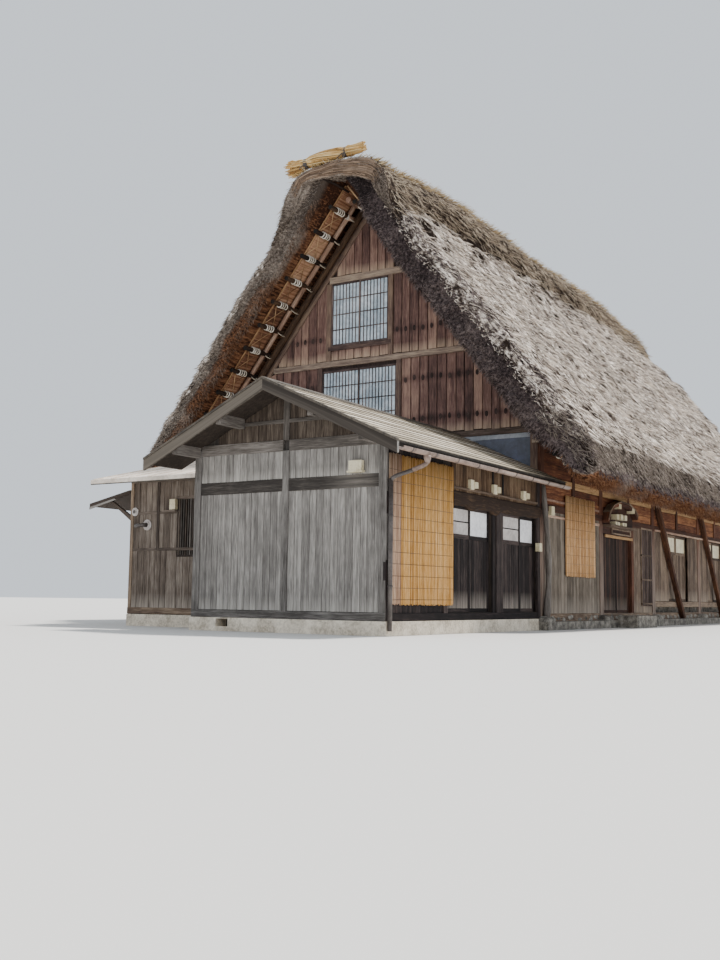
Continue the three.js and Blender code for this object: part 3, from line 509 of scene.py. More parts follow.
    def block(self, counts, where, grain, finishes=(0,) * 6, tone=0.0, smooth=True, wear=None):
        """The six finely divided faces of a box, bent to shape: where and grain turn shares into points."""
        number = -np.ones([c + 1 for c in counts], int)
        steps = np.indices(number.shape)
        edge = np.zeros(number.shape, bool)
        for axis, count in enumerate(counts):
            edge |= (steps[axis] == 0) | (steps[axis] == count)
        number[edge] = np.arange(edge.sum())
        shares = [steps[axis][edge] / counts[axis] for axis in range(3)]
        points, uvs = where(*shares), grain(*shares)
        faces, marks = [], []
        for axis in range(3):
            for side in (0, 1):
                sheet = np.take(number, side * counts[axis], axis=axis)
                quads = np.stack([sheet[:-1, :-1], sheet[1:, :-1], sheet[1:, 1:], sheet[:-1, 1:]], -1).reshape(-1, 4)
                if (side == 1) == (axis == 1):
                    quads = quads[:, ::-1]
                faces.append(quads)
                marks += [finishes[axis * 2 + side]] * len(quads)
        faces = np.concatenate(faces)
        a, b, c, d = (points[faces[:, i]] for i in range(4))
        if np.einsum("ij,ij->i", a, np.cross(b, c) + np.cross(c, d)).sum() < 0:
            faces = faces[:, ::-1]
        base = len(self.points)
        self.points.extend(points)
        self.tones.extend(np.broadcast_to(tone(*shares) if callable(tone) else tone, len(points)))
        self.wears.extend(wear(*shares) if wear else [0.0] * len(points))
        self.faces.extend(map(tuple, faces + base))
        self.grain.extend(uvs[faces.reshape(-1)])
        self.finishes.extend(marks)
        self.smooth.extend([smooth] * len(faces))

    def mesh(self, name, finishes):
        made = bpy.data.meshes.new(name)
        made.from_pydata((np.array(self.points) + (0, GABLE, 0)).tolist(), [], self.faces)
        for finish in finishes:
            made.materials.append(finish)
        made.polygons.foreach_set("material_index", np.array(self.finishes, np.int32))
        made.polygons.foreach_set("use_smooth", np.array(self.smooth, bool))
        made.uv_layers.new(name="grain").data.foreach_set("uv", np.array(self.grain, np.float32).reshape(-1))
        for label, values in (("tone", self.tones), ("wear", self.wears)):
            made.attributes.new(label, "FLOAT", "POINT").data.foreach_set("value", np.array(values, np.float32))
        return made

    def make(self, name, slot, finishes, replaced=(), body="house"):
        piece = bpy.data.objects.new(name, self.mesh(name, finishes))
        seat(piece, replaced, body)


def seat(piece, replaced=(), body="house"):
    """Puts a finished piece in the scene, on its body."""
    if piece.name not in bpy.context.scene.collection.objects:
        bpy.context.scene.collection.objects.link(piece)
    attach(piece, body)
    if replaced:
        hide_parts(*replaced)


def rumple(points, size, depth, seed, stretch=(1, 1, 1)):
    """One noise value for each point, with bumps of about that size, times depth."""
    drawn = points * (np.array(stretch) / size) + seed
    return depth * np.array([noise.noise(p) for p in drawn])


def river_stone(piece, centre, size, finish=0):
    """A rounded stone with its flattest side down."""
    seed = chance.uniform(0, 99)
    centre, size = np.array(centre, float), np.array(size, float)

    def where(a, b, c):
        cube = np.stack([a, b, c], -1) * 2 - 1
        reach = np.linalg.norm(cube, axis=1)[:, None]
        blunt = cube * (np.abs(cube).max(axis=1)[:, None] / reach * 0.55 + 0.45)
        return centre + blunt * size / 2 * (1 + rumple(cube, 1.1, 0.22, seed)[:, None])

    piece.block((5, 5, 5), where, lambda a, b, c: np.stack([a, b], -1), (finish,) * 6, chance.uniform(-1, 1))


# Main roof

# Rain hollows in the thatch: where each starts down the slope, its place along the ridge, length, width and depth
HOLLOWS = [(chance.uniform(0.14, 0.24), y + chance.uniform(-0.5, 0.5), chance.uniform(0.10, 0.30),
            chance.uniform(0.07, 0.20), chance.uniform(0.06, 0.19)) for y in np.arange(-0.7, HOUSE + 1, 0.72)]
HOLLOWS += [(chance.uniform(0.25, 0.85), chance.uniform(-1, HOUSE + 1), chance.uniform(0.05, 0.12),
             chance.uniform(0.05, 0.10), chance.uniform(0.03, 0.08)) for k in range(90)]


def hollow_at(a, y):
    """How deep the rain has worn a slope, down it at a and along the ridge at y."""
    depth = 0 * a
    for start, place, run, wide, deep in HOLLOWS:
        along = (a - start) / run
        shape = ease(along, 0.0, 0.2) * (1 - ease(along, 0.35, 1.0))
        depth = np.maximum(depth, deep * shape * np.exp(-((y - place - 1.6 * (a - start)) / wide) ** 2))
    return depth


def slope_tone(a, b, c):
    """Painted shade: darker in the hollows, along the lower edge where the top turns down into the eave, and on the
    underside up at the ridge.
    """
    y = -OVERHANG + b * ROOF_LONG
    # Painted shade on the top's turn down into the eave
    damp = ease(a, 0.930, 0.965) * (c > 0.99)
    return -7 * hollow_at(a, y) - 1.7 * damp - 3.0 * (1 - ease(a, 0.06, 0.22)) * (c < 0.6)


def slope_points(side, a, b, c):
    """The thatch of one slope: a runs down it, b along the ridge, c from underside to top."""
    y = -OVERHANG + b * ROOF_LONG
    inset = np.minimum(y + OVERHANG, HOUSE + OVERHANG - y)
    under_x = 4.93 * a
    under_z = APEX - PITCH * under_x
    # The cut face at the gable starts higher near the ridge, with a flat top to its opening
    lift = (0.27 if side < 0 else 0.16) * (1 - ease(under_x, 0.3, 1.5)) * (1 - ease(inset, 0.18, 0.40))
    under_z = np.minimum(under_z + lift, 8.94)
    if side > 0:
        hang = ease(under_x, 0.45, 0.75) * (1 - ease(under_x, 4.3, 4.7)) * (1 - ease(inset, 0.2, 0.3))
        under_x = under_x - 0.11 * hang * PITCH * SLOPE_COS
        under_z = under_z - 0.11 * hang * SLOPE_COS
    share = np.clip((a - 0.07) / 0.93, 0, 1)
    top_x = np.where(a < 0.07, 0.58 * a / 0.07, 0.58 + 4.88 * share)
    top_z = np.where(a < 0.07, 9.164, 9.164 - 6.166 * share)
    x = under_x + (top_x - under_x) * c
    z = under_z + (top_z - under_z) * c
    # The eave's face bellies out and hangs down to a soft lower edge
    toe, level = ease(a, 0.93, 1.0), (0.0, 0.25, 0.5, 0.75, 1.0)
    sag = 0.05 * ease(y, -0.5, 5.0) * (1 - ease(y, HOUSE - 5.0, HOUSE + 0.5)) * (1 - ease(c, 0.4, 1.0))
    x = x + toe * np.interp(c, level, (-0.05, -0.03, 0.01, 0.02, -0.05))
    z = z + toe * (np.interp(c, level, (-0.09, -0.19, -0.21, -0.13, 0.0)) - sag)
    z = z + 0.14 * ease(a, 0.88, 1.0) * (1 - ease(inset, 0.0, 0.9)) * (1 - c)
    # Rims are rounded: at both gables, except under the ridge cap, and along the eave
    exposed = ease(a, 0.15, 0.36)
    blunt = 0.22 * exposed * c ** 3 * rounding(inset, 0.34)
    blunt += 0.20 * c ** 3 * (1 - np.sqrt(np.clip(1 - ease(a, 0.88, 1.0) ** 2, 0, 1)))
    blunt -= 0.06 * (1 - ease(inset, 0.0, 0.14)) * (1 - c) ** 3
    x, z = x - blunt * PITCH * SLOPE_COS, z - blunt * SLOPE_COS
    points = np.stack([side * x, y, z], -1)
    square = np.array((side * PITCH * SLOPE_COS, 0, SLOPE_COS))
    edge = np.maximum(1 - ease(inset, 0.05, 0.7), ease(a, 0.86, 0.99))
    worn = rumple(points, 1.7, 0.05, 3.1) + rumple(points, 0.46, 0.062, 8.7, (0.45, 1, 0.45))
    worn += rumple(points, 0.19, 0.060, 5.3, (0.45, 1, 0.45)) + rumple(points, 0.36, 0.075, 1.9) * edge
    points += square * (worn * (0.2 + 0.8 * c) - hollow_at(a, y) * c)[:, None]
    ragged = rumple(points, 0.20, 0.045, 6.6) + rumple(points, 0.55, 0.07, 2.9) * exposed
    points[:, 1] += ragged * (1 - ease(inset, 0.0, 0.35))
    inward = np.where(b < 0.5, 1, -1)
    points[:, 1] += 0.05 * (1 - exposed) * inward * (1 - ease(inset, 0.0, 0.2))
    points[:, 1] += 0.32 * ease(a, 0.84, 1.0) * (0.4 + 0.6 * c) * inward * (1 - ease(inset, 0.0, 0.7))
    points[:, 2] -= 0.27 * ease(y, 10.0, HOUSE + 0.5) * (1 - ease(a, 0.1, 0.4)) * c
    return points


def slope_wear(side, a, b, c):
    """1 on the cut rims, falling to 0 on the smoked underside; the right rim is grey to its lower edge."""
    y = b * ROOF_LONG
    inset = np.minimum(y, ROOF_LONG - y)
    eave = 0.75 * ease(a, 0.97, 1.0) * ease(c, 0.5, 0.85)
    rim = 0.9 if side > 0 else 0.9 - 0.7 * ease(a, 0.2, 0.45) * (1 - ease(c, 0.15, 0.55))
    return np.clip(1 - inset / 0.30, 0, 1) * rim + np.maximum(eave, 0.6 * (c > 0.99))


def thatch_slopes():
    """The coats of both slopes; the grain map runs down the slope, so that the stalks do."""
    for side, name in ((-1, "left"), (1, "right")):
        piece = Piece()
        # The right slope's cut faces take the near-black copy, painted shade
        cut = 1 if side < 0 else 2
        piece.block((100, 230, 9), lambda a, b, c: slope_points(side, a, b, c),
                    lambda a, b, c: np.stack([b * 16.33 + c * 0.3, a * 8.0 + (1 - c) * 0.6], -1),
                    (1, 1, cut, cut, cut, 0), slope_tone, wear=lambda a, b, c: slope_wear(side, a, b, c))
        piece.make(f"thatch_{name}_coat", "thatch", [thatch_top, cut_pale, cut_shaded], [f"thatch_{name}"])


# The ridge cap's section from its lower edge to the crest, outside and inside
CAP = ((1.66, 7.80), (1.56, 8.03), (1.43, 8.28), (1.30, 8.53), (1.19, 8.79), (1.07, 9.00), (0.91, 9.14), (0.58, 9.26),
       (0, 9.33))
CAP_INSIDE = ((1.50, 7.74), (1.36, 7.92), (1.20, 8.12), (1.02, 8.34), (0.92, 8.52), (0.88, 8.66), (0.78, 8.80),
              (0.50, 8.89), (0, 8.92))


def cap_points(a, b, c):
    """The ridge cap: a runs over it from left to right, b along it, c from inside to outside."""
    y = -OVERHANG - 0.03 + b * (ROOF_LONG + 0.05)
    outer, inner = (np.array([(-x, z) for x, z in half] + [(x, z) for x, z in half[-2::-1]])
                    for half in (CAP, CAP_INSIDE))
    inner[6:11, 1] -= 0.12 * inner[6:11, 0]
    inset = np.minimum(y + OVERHANG + 0.03, HOUSE + OVERHANG - y + 0.02)
    # Away from the ends the skirt is shorter and thins out to its ragged lower edge
    short = 0.32 * ease(inset, 0.3, 1.3)
    ragged = 0.05 * np.array([noise.noise((v * 2.3, 4.4, 0)) + 0.6 * noise.noise((v * 7, 8.8, 0)) for v in y])
    reach = np.abs(a - 0.5) * 2
    thin = 0.55 * ease(reach, 0.72, 1.0)
    a = 0.5 + (a - 0.5) * (1 - (short + ragged) * reach)
    c = c * (1 - thin)
    spots = np.linspace(0, 1, len(outer))
    pick = [np.interp(a, spots, line[:, k]) for line in (inner, outer) for k in (0, 1)]
    x = pick[0] + (pick[2] - pick[0]) * c
    z = pick[1] + (pick[3] - pick[1]) * c
    # The far end settles, and the front is worn round
    settled = ease(y, 10.0, HOUSE + 0.5) * c
    x, z = x * (1 - 0.08 * settled), z - 0.24 * settled - 0.05 * c ** 2 * (1 - ease(inset, 0.0, 0.20))
    z -= 0.15 * c ** 2 * ease(y, HOUSE + OVERHANG - 1.3, HOUSE + OVERHANG)
    z += 0.14 * ease(y, 0.0, 1.6) * (1 - ease(y, 3.0, 6.5)) * c
    # The skirt's ends are worn round like the rims of the slopes
    blunt = 0.20 * ease(reach, 0.5, 1.0) * c ** 2 * rounding(inset, 0.34)
    x, z = x - np.sign(x) * blunt * PITCH * SLOPE_COS, z - blunt * SLOPE_COS
    points = np.stack([x, y, z], -1)
    worn = rumple(points, 0.9, 0.045, 2.2) + rumple(points, 0.24, 0.055, 4.1, (0.5, 1, 0.5))
    points[:, 2] += (worn - 0.01) * c
    points[:, 0] += np.sign(x) * (worn - 0.015) * c * 0.8
    # Laid stalks show as level courses on the cap's front
    courses = 0.018 * np.sin(c * 5 * np.pi + 2 * rumple(points, 0.5, 1.0, 3.3))
    points[:, 1] += (rumple(points, 0.25, 0.03, 9.1) + courses) * (1 - ease(inset, 0.0, 0.2))
    return points


def ridge_cap():
    """The cap over the ridge, darker towards its skirts."""
    piece = Piece()
    piece.block((56, 220, 6), cap_points, lambda a, b, c: np.stack([b * 16.3, np.abs(a - 0.5) * 4], -1),
                (0, 0, 1, 1, 1, 0), lambda a, b, c: -1.2 * ease(np.abs(a - 0.5), 0.2, 0.5),
                wear=lambda a, b, c: 0.9 + 0 * a)
    # Courses of stalks laid across the cap's end, seen under the straw roll
    for b, out in ((0.0, -0.004), (1.0, 0.004)):
        for k in range(260):
            start = chance.uniform(0.27, 0.62)
            level = chance.uniform(0.04, 0.95)
            spots = np.linspace(start, start + chance.uniform(0.06, 0.16), 6)
            path = cap_points(spots, np.full(6, b), np.full(6, level))
            path[:, 1] += out
            piece.rod(path, chance.uniform(0.006, 0.012), 5, finish=2)
    piece.make("ridge_cap_coat", "thatch", [ridge_top, cut_pale, cap_layers], ["ridge_cap"])


def straw_roll():
    """Three bundles bound end to end across the ridge, drooping on the left and rising on the right."""
    piece = Piece()
    y = -1.12

    def spine(x):
        return np.interp(x, (-1.32, -0.78, -0.36, 0.16, 0.75), (9.32, 9.385, 9.43, 9.43, 9.47))

    ties = (-0.78, 0.16)
    for start, end in ((-1.22, -0.74), (-0.84, 0.20), (0.12, 0.60)):
        for k in range(90):
            spin, reach = chance.uniform(0, 2 * math.pi), math.sqrt(chance.uniform(0.02, 1))
            stray = chance.uniform(1.0, 1.35)
            x0, x1 = start + chance.uniform(-0.04, 0.04), end + chance.uniform(-0.04, 0.04)
            path = []
            for t in np.linspace(0, 1, 8):
                x = x0 + (x1 - x0) * t
                tied = max(math.exp(-((x - tie) / 0.08) ** 2) for tie in ties)
                r = 0.128 * reach * (1 - 0.45 * tied) * (stray if x < -1.05 else 0.8 if x > 0.3 else 1)
                path.append((x, y + r * math.cos(spin + x), spine(x) + r * math.sin(spin + x)))
            piece.rod(path, [0.010, 0.012, 0.012, 0.012, 0.012, 0.012, 0.011, 0.009], 5)
    for x in ties:
        for k in range(6):
            turns = np.linspace(0, 2 * math.pi, 13)
            r = 0.094 + chance.uniform(0, 0.006)
            loop = [(x + (k - 2.5) * 0.016 + 0.01 * math.sin(2 * a), y + r * math.cos(a), spine(x) + r * math.sin(a))
                    for a in turns]
            piece.rod(loop, 0.010, 5, finish=1)
        # The tails of the tie reach down to the cap
        for k in (-1, 1):
            piece.rod([(x, y - 0.06, spine(x)), (x + k * 0.05, y - 0.10, spine(x) - 0.07),
                       (x + k * 0.09, y - 0.15, spine(x) - 0.15)], 0.009, 5, finish=1)
    piece.make("straw_roll_bundles", "straw", [straw, dark_pipe], ["straw_roll"])


def roof_poles():
    """Poles along the house under the thatch, and the logs and laths down each gable end."""
    for side, name in ((-1, "left"), (1, "right")):
        piece = Piece()
        for i in range(POLES):
            z = POLE_TOP - POLE_STEP * i
            x = roof_x(z, POLE_DEPTH)
            seed = chance.uniform(0, 99)
            r = chance.uniform(0.045, 0.050)
            past = chance.uniform(-0.05, 0.0)
            ys = [-0.98 - past, -0.7, -0.4, -0.1, 0.3, 2, 5, 8, 11, 13.5, 13.95, 14.25, 14.55, 14.83 + past]
            path = [(side * x, y, z + 0.012 * noise.noise((seed, y * 0.7, 0))) for y in ys]
            piece.rod(path, [r * (1 + 0.08 * noise.noise((seed, y, 3))) for y in ys], 10, caps=2)
        for out, radius, depth, finish in ((0.10, 0.070, 0.193, 0), (0.27, 0.050, 0.060, 1), (0.80, 0.020, 0.022, 3)):
            for y in (-out, HOUSE + out):
                low = roof_x(2.82, depth)
                seed = chance.uniform(0, 99)
                spots = np.linspace(0.02, low, 16)
                path = [(side * x, y + 0.012 * noise.noise((seed, x, 0)), roof_line(x, depth)) for x in spots]
                piece.rod(path, [radius * (1 + 0.08 * noise.noise((seed, x, 3))) for x in spots], 10, finish=finish)
        # A short offcut wedged by the top pole
        for y in (-0.26, HOUSE + 0.26):
            z = roof_line(0.27, 0.12)
            piece.rod([(side * 0.27, y - 0.10, z), (side * 0.25, y + 0.10, z + 0.01)], [0.06, 0.055], 8,
                      finish=1, caps=4)
        if side > 0:
            # The ridge pole's pale ends, and a stray stick up to the cap
            for y0, y1 in ((-0.80, 0.2), (HOUSE + 0.80, HOUSE - 0.2)):
                y = y0 + (y1 - y0) * 0.45
                piece.rod([(0.04, y0, 8.57), (0.0, y, 8.59)], [0.066, 0.070], 6, smooth=False, finish=1, tone=-0.8)
                piece.rod([(0.0, y, 8.59), (0.0, y1, 8.62)], 0.055, 10)
            piece.rod([(-0.31, -1.20, 8.95), (-0.10, -0.97, 8.84), (0.06, -0.80, 8.72)], 0.026, 8)
        piece.make(f"roof_poles_{name}_logs", "roof_poles", [pole, pale_log, soot, thin_rope, cut_end],
                   [f"roof_poles_{name}"])


def under_mats():
    """Reed mats against the thatch, between the lath at the poles' ends and the gable, in separate bays."""
    piece = Piece()
    for side in (-1, 1):
        for y0, y1 in ((-0.79, -0.31), (HOUSE + 0.31, HOUSE + 0.79)):
            for i in range(-1, POLES):
                z_top = POLE_TOP - POLE_STEP * i - 0.03
                x0 = max(0.03, roof_x(z_top, 0.02))
                x1 = roof_x(z_top - 0.385, 0.02)
                swell, slack = chance.uniform(0.004, 0.012), chance.uniform(-0.015, 0.015)

                def where(a, b, c):
                    x = x0 + (x1 - x0) * a
                    y = y0 + (y1 - y0) * b + slack * np.sin(np.pi * a)
                    belly = swell * np.sin(np.pi * a) * np.sin(np.pi * b)
                    depth = 0.006 + 0.014 * (1 - c) + (belly + 0.004 * np.sin(x * 2 * np.pi / 0.028)) * (1 - c)
                    return np.stack([side * (x - depth * PITCH * SLOPE_COS), y,
                                     APEX - PITCH * x - depth * SLOPE_COS], -1)
                piece.block((20, 6, 1), where, lambda a, b, c: np.stack([a * 0.62, b * 0.48], -1),
                            tone=chance.uniform(-1.2, 1.2))
    piece.make("under_mats", "straw", [reed_mat])


def lashings():
    """White rope wound round every pole end, cords crossing between them, and ties to the rafter."""
    piece = Piece()
    for side in (-1, 1):
        for i in range(POLES):
            z = POLE_TOP - POLE_STEP * i
            x = roof_x(z, POLE_DEPTH)
            for end in (-1, 1):
                def place(out):
                    return -out if end < 0 else HOUSE + out
                for k in range(4):
                    tilt = chance.uniform(-0.015, 0.015)
                    turns = np.linspace(0, 2 * math.pi, 11)
                    r = 0.056 + chance.uniform(0, 0.006)
                    loop = [(side * (x + r * math.cos(a)), place(0.515 + k * 0.068 + tilt * math.sin(a)),
                             z + r * math.sin(a)) for a in turns]
                    piece.rod(loop, 0.0125, 6)
                if i < POLES - 1:
                    z1 = z - POLE_STEP
                    x1 = roof_x(z1, POLE_DEPTH)
                    for y0, y1 in ((0.50, 0.80), (0.80, 0.50)):
                        piece.rod([(side * (x + 0.02), place(y0), z - 0.05),
                                   (side * ((x + x1) / 2 - 0.02), place(0.66), (z + z1) / 2 + 0.01),
                                   (side * (x1 - 0.02), place(y1), z1 + 0.06)], 0.008, 5, finish=1)
                # A slack hook of rope from the pole round the pale log
                turns = np.linspace(-0.6, chance.uniform(2.8, 4.1), 11)
                r, long = chance.uniform(0.055, 0.085), chance.uniform(0.07, 0.12)
                hook = [(side * (x - 0.03 - r * math.sin(a)), place(0.23 - long * math.cos(a)),
                         z - 0.035 - r * math.sin(a)) for a in turns]
                piece.rod(hook, 0.011, 6, tone=-1.6)
    piece.make("pole_lashings", "straw", [rope, thin_rope])


# Loose stalks, grown with Geometry Nodes

def stalk_tree():
    """Grows tapered stalks on a surface, each along the surface's own fall direction."""
    tree = bpy.data.node_groups.new("Reed stalks", "GeometryNodeTree")
    for name, kind in (("Ground", "Geometry"), ("Density", "Float"), ("Length", "Float"), ("Radius", "Float"),
                       ("Spread", "Float"), ("Seed", "Int"), ("Wear", "Float"), ("Finish", "Material")):
        tree.interface.new_socket(name, in_out="INPUT", socket_type=f"NodeSocket{kind}")
    tree.interface.new_socket("Stalks", in_out="OUTPUT", socket_type="NodeSocketGeometry")
    given = node(tree, "NodeGroupInput").outputs
    spots = node(tree, "GeometryNodeDistributePointsOnFaces",
                 {"Mesh": given["Ground"], "Density": given["Density"], "Seed": given["Seed"]})
    fall = node(tree, "GeometryNodeInputNamedAttribute", {"Name": "fall"}, data_type="FLOAT_VECTOR")
    stray = node(tree, "FunctionNodeRandomValue", {0: (-1, -1, -1), 1: (1, 1, 1), "Seed": given["Seed"]},
                 data_type="FLOAT_VECTOR")
    strayed = node(tree, "ShaderNodeVectorMath", {0: stray.outputs[0], "Scale": given["Spread"]}, operation="SCALE")
    heading = node(tree, "ShaderNodeVectorMath", {0: fall.outputs["Attribute"], 1: strayed.outputs[0]})
    turned = node(tree, "FunctionNodeAlignRotationToVector", {"Vector": heading.outputs[0]}, axis="Z")
    stalk = node(tree, "GeometryNodeMeshCone", {"Vertices": 3, "Radius Top": 0.0, "Radius Bottom": given["Radius"],
                                                "Depth": given["Length"]})
    size = node(tree, "FunctionNodeRandomValue", {2: 0.45, 3: 1.25, "Seed": given["Seed"]}, data_type="FLOAT")
    placed = node(tree, "GeometryNodeInstanceOnPoints",
                  {"Points": spots.outputs["Points"], "Instance": stalk.outputs["Mesh"],
                   "Rotation": turned.outputs[0], "Scale": size.outputs[1]})
    shade = node(tree, "FunctionNodeRandomValue", {2: -1.3, 3: 1.3, "Seed": given["Seed"]}, data_type="FLOAT")
    toned = node(tree, "GeometryNodeStoreNamedAttribute",
                 {"Geometry": placed.outputs[0], "Name": "tone", "Value": shade.outputs[1]},
                 data_type="FLOAT", domain="INSTANCE")
    greyed = node(tree, "GeometryNodeStoreNamedAttribute",
                  {"Geometry": toned.outputs[0], "Name": "wear", "Value": given["Wear"]},
                  data_type="FLOAT", domain="INSTANCE")
    plain = node(tree, "GeometryNodeRealizeInstances", {"Geometry": greyed.outputs[0]})
    dressed = node(tree, "GeometryNodeSetMaterial", {"Geometry": plain.outputs[0], "Material": given["Finish"]})
    node(tree, "NodeGroupOutput", {"Stalks": dressed.outputs[0]})
    return tree


stalks = stalk_tree()


def open_sheet(rows, bare=None):
    """A sheet through rows of points, with gaps where bare, for stalks to grow on; it isn't kept."""
    rows = np.asarray(rows, float)
    high, wide = rows.shape[:2]
    number = np.arange(high * wide).reshape(high, wide)
    quads = np.stack([number[:-1, :-1], number[1:, :-1], number[1:, 1:], number[:-1, 1:]], -1).reshape(-1, 4)
    if bare is not None:
        quads = quads[~bare.ravel()[quads].any(axis=1)]
    sheet = bpy.data.meshes.new("ground")
    sheet.from_pydata((rows.reshape(-1, 3) + (0, GABLE, 0)).tolist(), [], quads.tolist())
    return sheet


def grow(name, rows, falls, finish, density, length, radius, spread, seed, wear=1.0, bare=None):
    """Grows stalks on a sheet through rows of points, along falls, and keeps them as a plain piece."""
    ground = open_sheet(rows, bare)
    inputs = {"Density": density, "Length": length, "Radius": radius, "Spread": spread, "Seed": seed, "Wear": wear,
              "Finish": finish}
    falls = np.broadcast_to(np.asarray(falls, np.float32), (len(ground.vertices), 3))
    ground.attributes.new("fall", "FLOAT_VECTOR", "POINT").data.foreach_set("vector", falls.reshape(-1))
    carrier = bpy.data.objects.new(f"{name}_ground", ground)
    bpy.context.scene.collection.objects.link(carrier)
    growth = carrier.modifiers.new("Growth", "NODES")
    growth.node_group = stalks
    for item in stalks.interface.items_tree:
        if item.name in inputs:
            growth[item.identifier] = inputs[item.name]
    shown = carrier.evaluated_get(bpy.context.evaluated_depsgraph_get())
    made = bpy.data.meshes.new_from_object(shown)
    carrier.modifiers.remove(growth)
    bpy.data.objects.remove(carrier)
    made.name = name
    seat(bpy.data.objects.new(name, made))


ALONG = np.linspace(0.003, 0.997, 150)      # shares of the roof's length that the eaves' stalks grow on


def rows_over(points_at, a_values, b_values, c_values):
    """Rows of points over the thatch; a runs across it, b along the ridge and c through it, one of them fixed."""
    a, b, c = np.meshgrid(a_values, b_values, c_values, indexing="ij")
    points = points_at(a.ravel(), b.ravel(), c.ravel())
    return points.reshape(*[count for count in a.shape if count > 1], 3)


def slope_stalks():
    """Loose tips and tufts all over the slopes, and stalk ends along their eaves and verges."""
    for side, name in ((-1, "left"), (1, "right")):
        down = np.array((side * SLOPE_COS, 0, -PITCH * SLOPE_COS))
        square = np.array((side * PITCH * SLOPE_COS, 0, SLOPE_COS))
        # On the right the cut rims take the near-black copy, painted shade
        cut, mixed_in, inner = (cut_pale, cut_pale, 0.35) if side < 0 else (cut_shaded, thatch_top, 0.9)

        def sheet(*shares):
            return rows_over(lambda a, b, c: slope_points(side, a, b, c), *shares)

        a_values, b_values = np.linspace(0.14, 0.940, 90), np.linspace(0.003, 0.997, 190)
        top = sheet(a_values, b_values, 1.0)
        bare = hollow_at(*np.meshgrid(a_values, -OVERHANG + b_values * ROOF_LONG, indexing="ij")) > 0.085
        grow(f"thatch_{name}_tips", top, down + 0.14 * square, thatch_top, 300.0, 0.15, 0.008, 0.26, 3, bare=bare)
        grow(f"thatch_{name}_tufts", top, down + 0.26 * square, thatch_top, 45.0, 0.25, 0.018, 0.30, 21, bare=bare)
        for end, b0, outward in (("front", 0.0, -1), ("back", 1.0, 1)):
            out = np.array((0, outward, 0))
            verge = f"verge_{name}_{end}"
            for part, run, share0, share1, grey in (("upper", (0.05, 0.34), 0.02, 0.98, 1.0),
                                                    ("ends", (0.33, 0.99), 0.28, 0.98, 1.0),
                                                    ("inner", (0.33, 0.99), 0.02, 0.34, inner)):
                shares = np.linspace(share0, share1, 6)
                rim = sheet(np.linspace(*run, 50), b0, shares)
                lean = down * 0.35 + square * (np.tile(shares, 50)[:, None] - 0.6) * 1.2 + out
                grow(f"{verge}_{part}", rim, lean, cut, 1700.0, 0.065, 0.008, 0.40, 5, grey)
            # Bleached tips mix where the slope turns over into the cut face; on the right the turn's stalks take the
            # near-black painted-shade copy
            upper = sheet(np.linspace(0.20, 0.90, 56), b0, np.linspace(0.62, 1.0, 4))
            grow(f"{verge}_shoulder", upper, down * 0.8 + square * 0.3 + out * 0.6, mixed_in, 900.0, 0.10, 0.010,
                 0.45, 15)
            turn = sheet(np.linspace(0.20, 0.985, 60), np.abs(b0 - np.linspace(0.0, 0.026, 5)), 1.0)
            grow(f"{verge}_turn", turn, down + out * 0.35 + square * 0.2, cut, 520.0, 0.13, 0.011, 0.40, 16)
            # Grey stalks hang over the lower corner, where the cut face turns into the eave
            face = sheet(np.linspace(0.84, 0.995, 18), b0, np.linspace(0.30, 1.0, 6))
            edge = sheet(np.linspace(0.86, 0.996, 16), np.abs(b0 - np.linspace(0.0, 0.022, 5)), 1.0)
            for part, corner in (("face", face), ("edge", edge)):
                grow(f"{verge}_corner_{part}", corner, down * 0.8 + out * 0.45 + square * 0.15, cut_pale, 700.0,
                     0.15, 0.010, 0.40, 18)
            low = sheet(np.linspace(0.10, 0.985, 60), np.abs(b0 - np.linspace(0.0, 0.010, 5)), 0.02)
            grow(f"{verge}_fringe", low, down * 0.5 - square + out * 0.4, cut, 1500.0, 0.11, 0.009, 0.50, 6, inner)
        edge = sheet(np.linspace(0.925, 0.998, 8), ALONG, 1.0)
        grow(f"eave_{name}_edge", edge, down - 0.15 * square, cut_pale, 1000.0, 0.13, 0.009, 0.34, 17)
        # The eave's face: near-black grey stalks at the top as painted shade, smoke-brown below
        drop = down + np.array((-side * 0.20, 0, -0.45))
        for part, low, high, grey, look in (("damp", 0.66, 0.99, 0.9, cut_shaded),
                                            ("brown", 0.02, 0.76, 0.15, cut_pale)):
            eave = sheet(0.998, np.linspace(0.02, 0.98, 150), np.linspace(low, high, 4))
            grow(f"eave_{name}_{part}", eave, drop, look, 1400.0, 0.11, 0.008, 0.40, 7, grey)
        lip = sheet(np.linspace(0.955, 0.998, 4), ALONG, 0.0)
        grow(f"eave_{name}_lip", lip, down * 0.4 - square, cut_pale, 700.0, 0.12, 0.009, 0.45, 8, 0.1)


def ridge_stalks():
    """Dull tips over the ridge cap, cut ends on its two faces, and sunned straw along its shoulders."""
    along = np.linspace(0.002, 0.998, 150)
    over = np.linspace(0.04, 0.96, 40)
    across = (np.repeat(over, len(along)) - 0.5) * 2
    lean = np.stack([across * 0.9, 0 * across, 0.10 - np.abs(across) * 1.1], -1)
    grow("ridge_cap_tips", rows_over(cap_points, over, along, 1.0), lean, ridge_top, 360.0, 0.22, 0.010, 0.34, 9)
    for end, b0, outward in (("front", 0.0, -1), ("back", 1.0, 1)):
        for k, shares in enumerate((np.linspace(0.01, 0.34, 16), np.linspace(0.66, 0.99, 16))):
            rim = rows_over(cap_points, shares, b0, np.linspace(0.02, 0.98, 6))
            grow(f"ridge_{end}_ends_{k}", rim, (0.3 * (2 * k - 1), outward, -0.3), cut_pale, 1700.0, 0.075, 0.008,
                 0.45, 25)
    for k, (a0, push) in enumerate(((0.38, -1), (0.62, 1))):
        shoulder = rows_over(cap_points, np.linspace(a0 - 0.08, a0 + 0.08, 7), along, 1.0)
        grow(f"ridge_straw_{k}", shoulder, (push, 0.1, 0.10), straw_tips, 300.0, 0.20, 0.009, 0.30, 11 + k)


# Gable ends

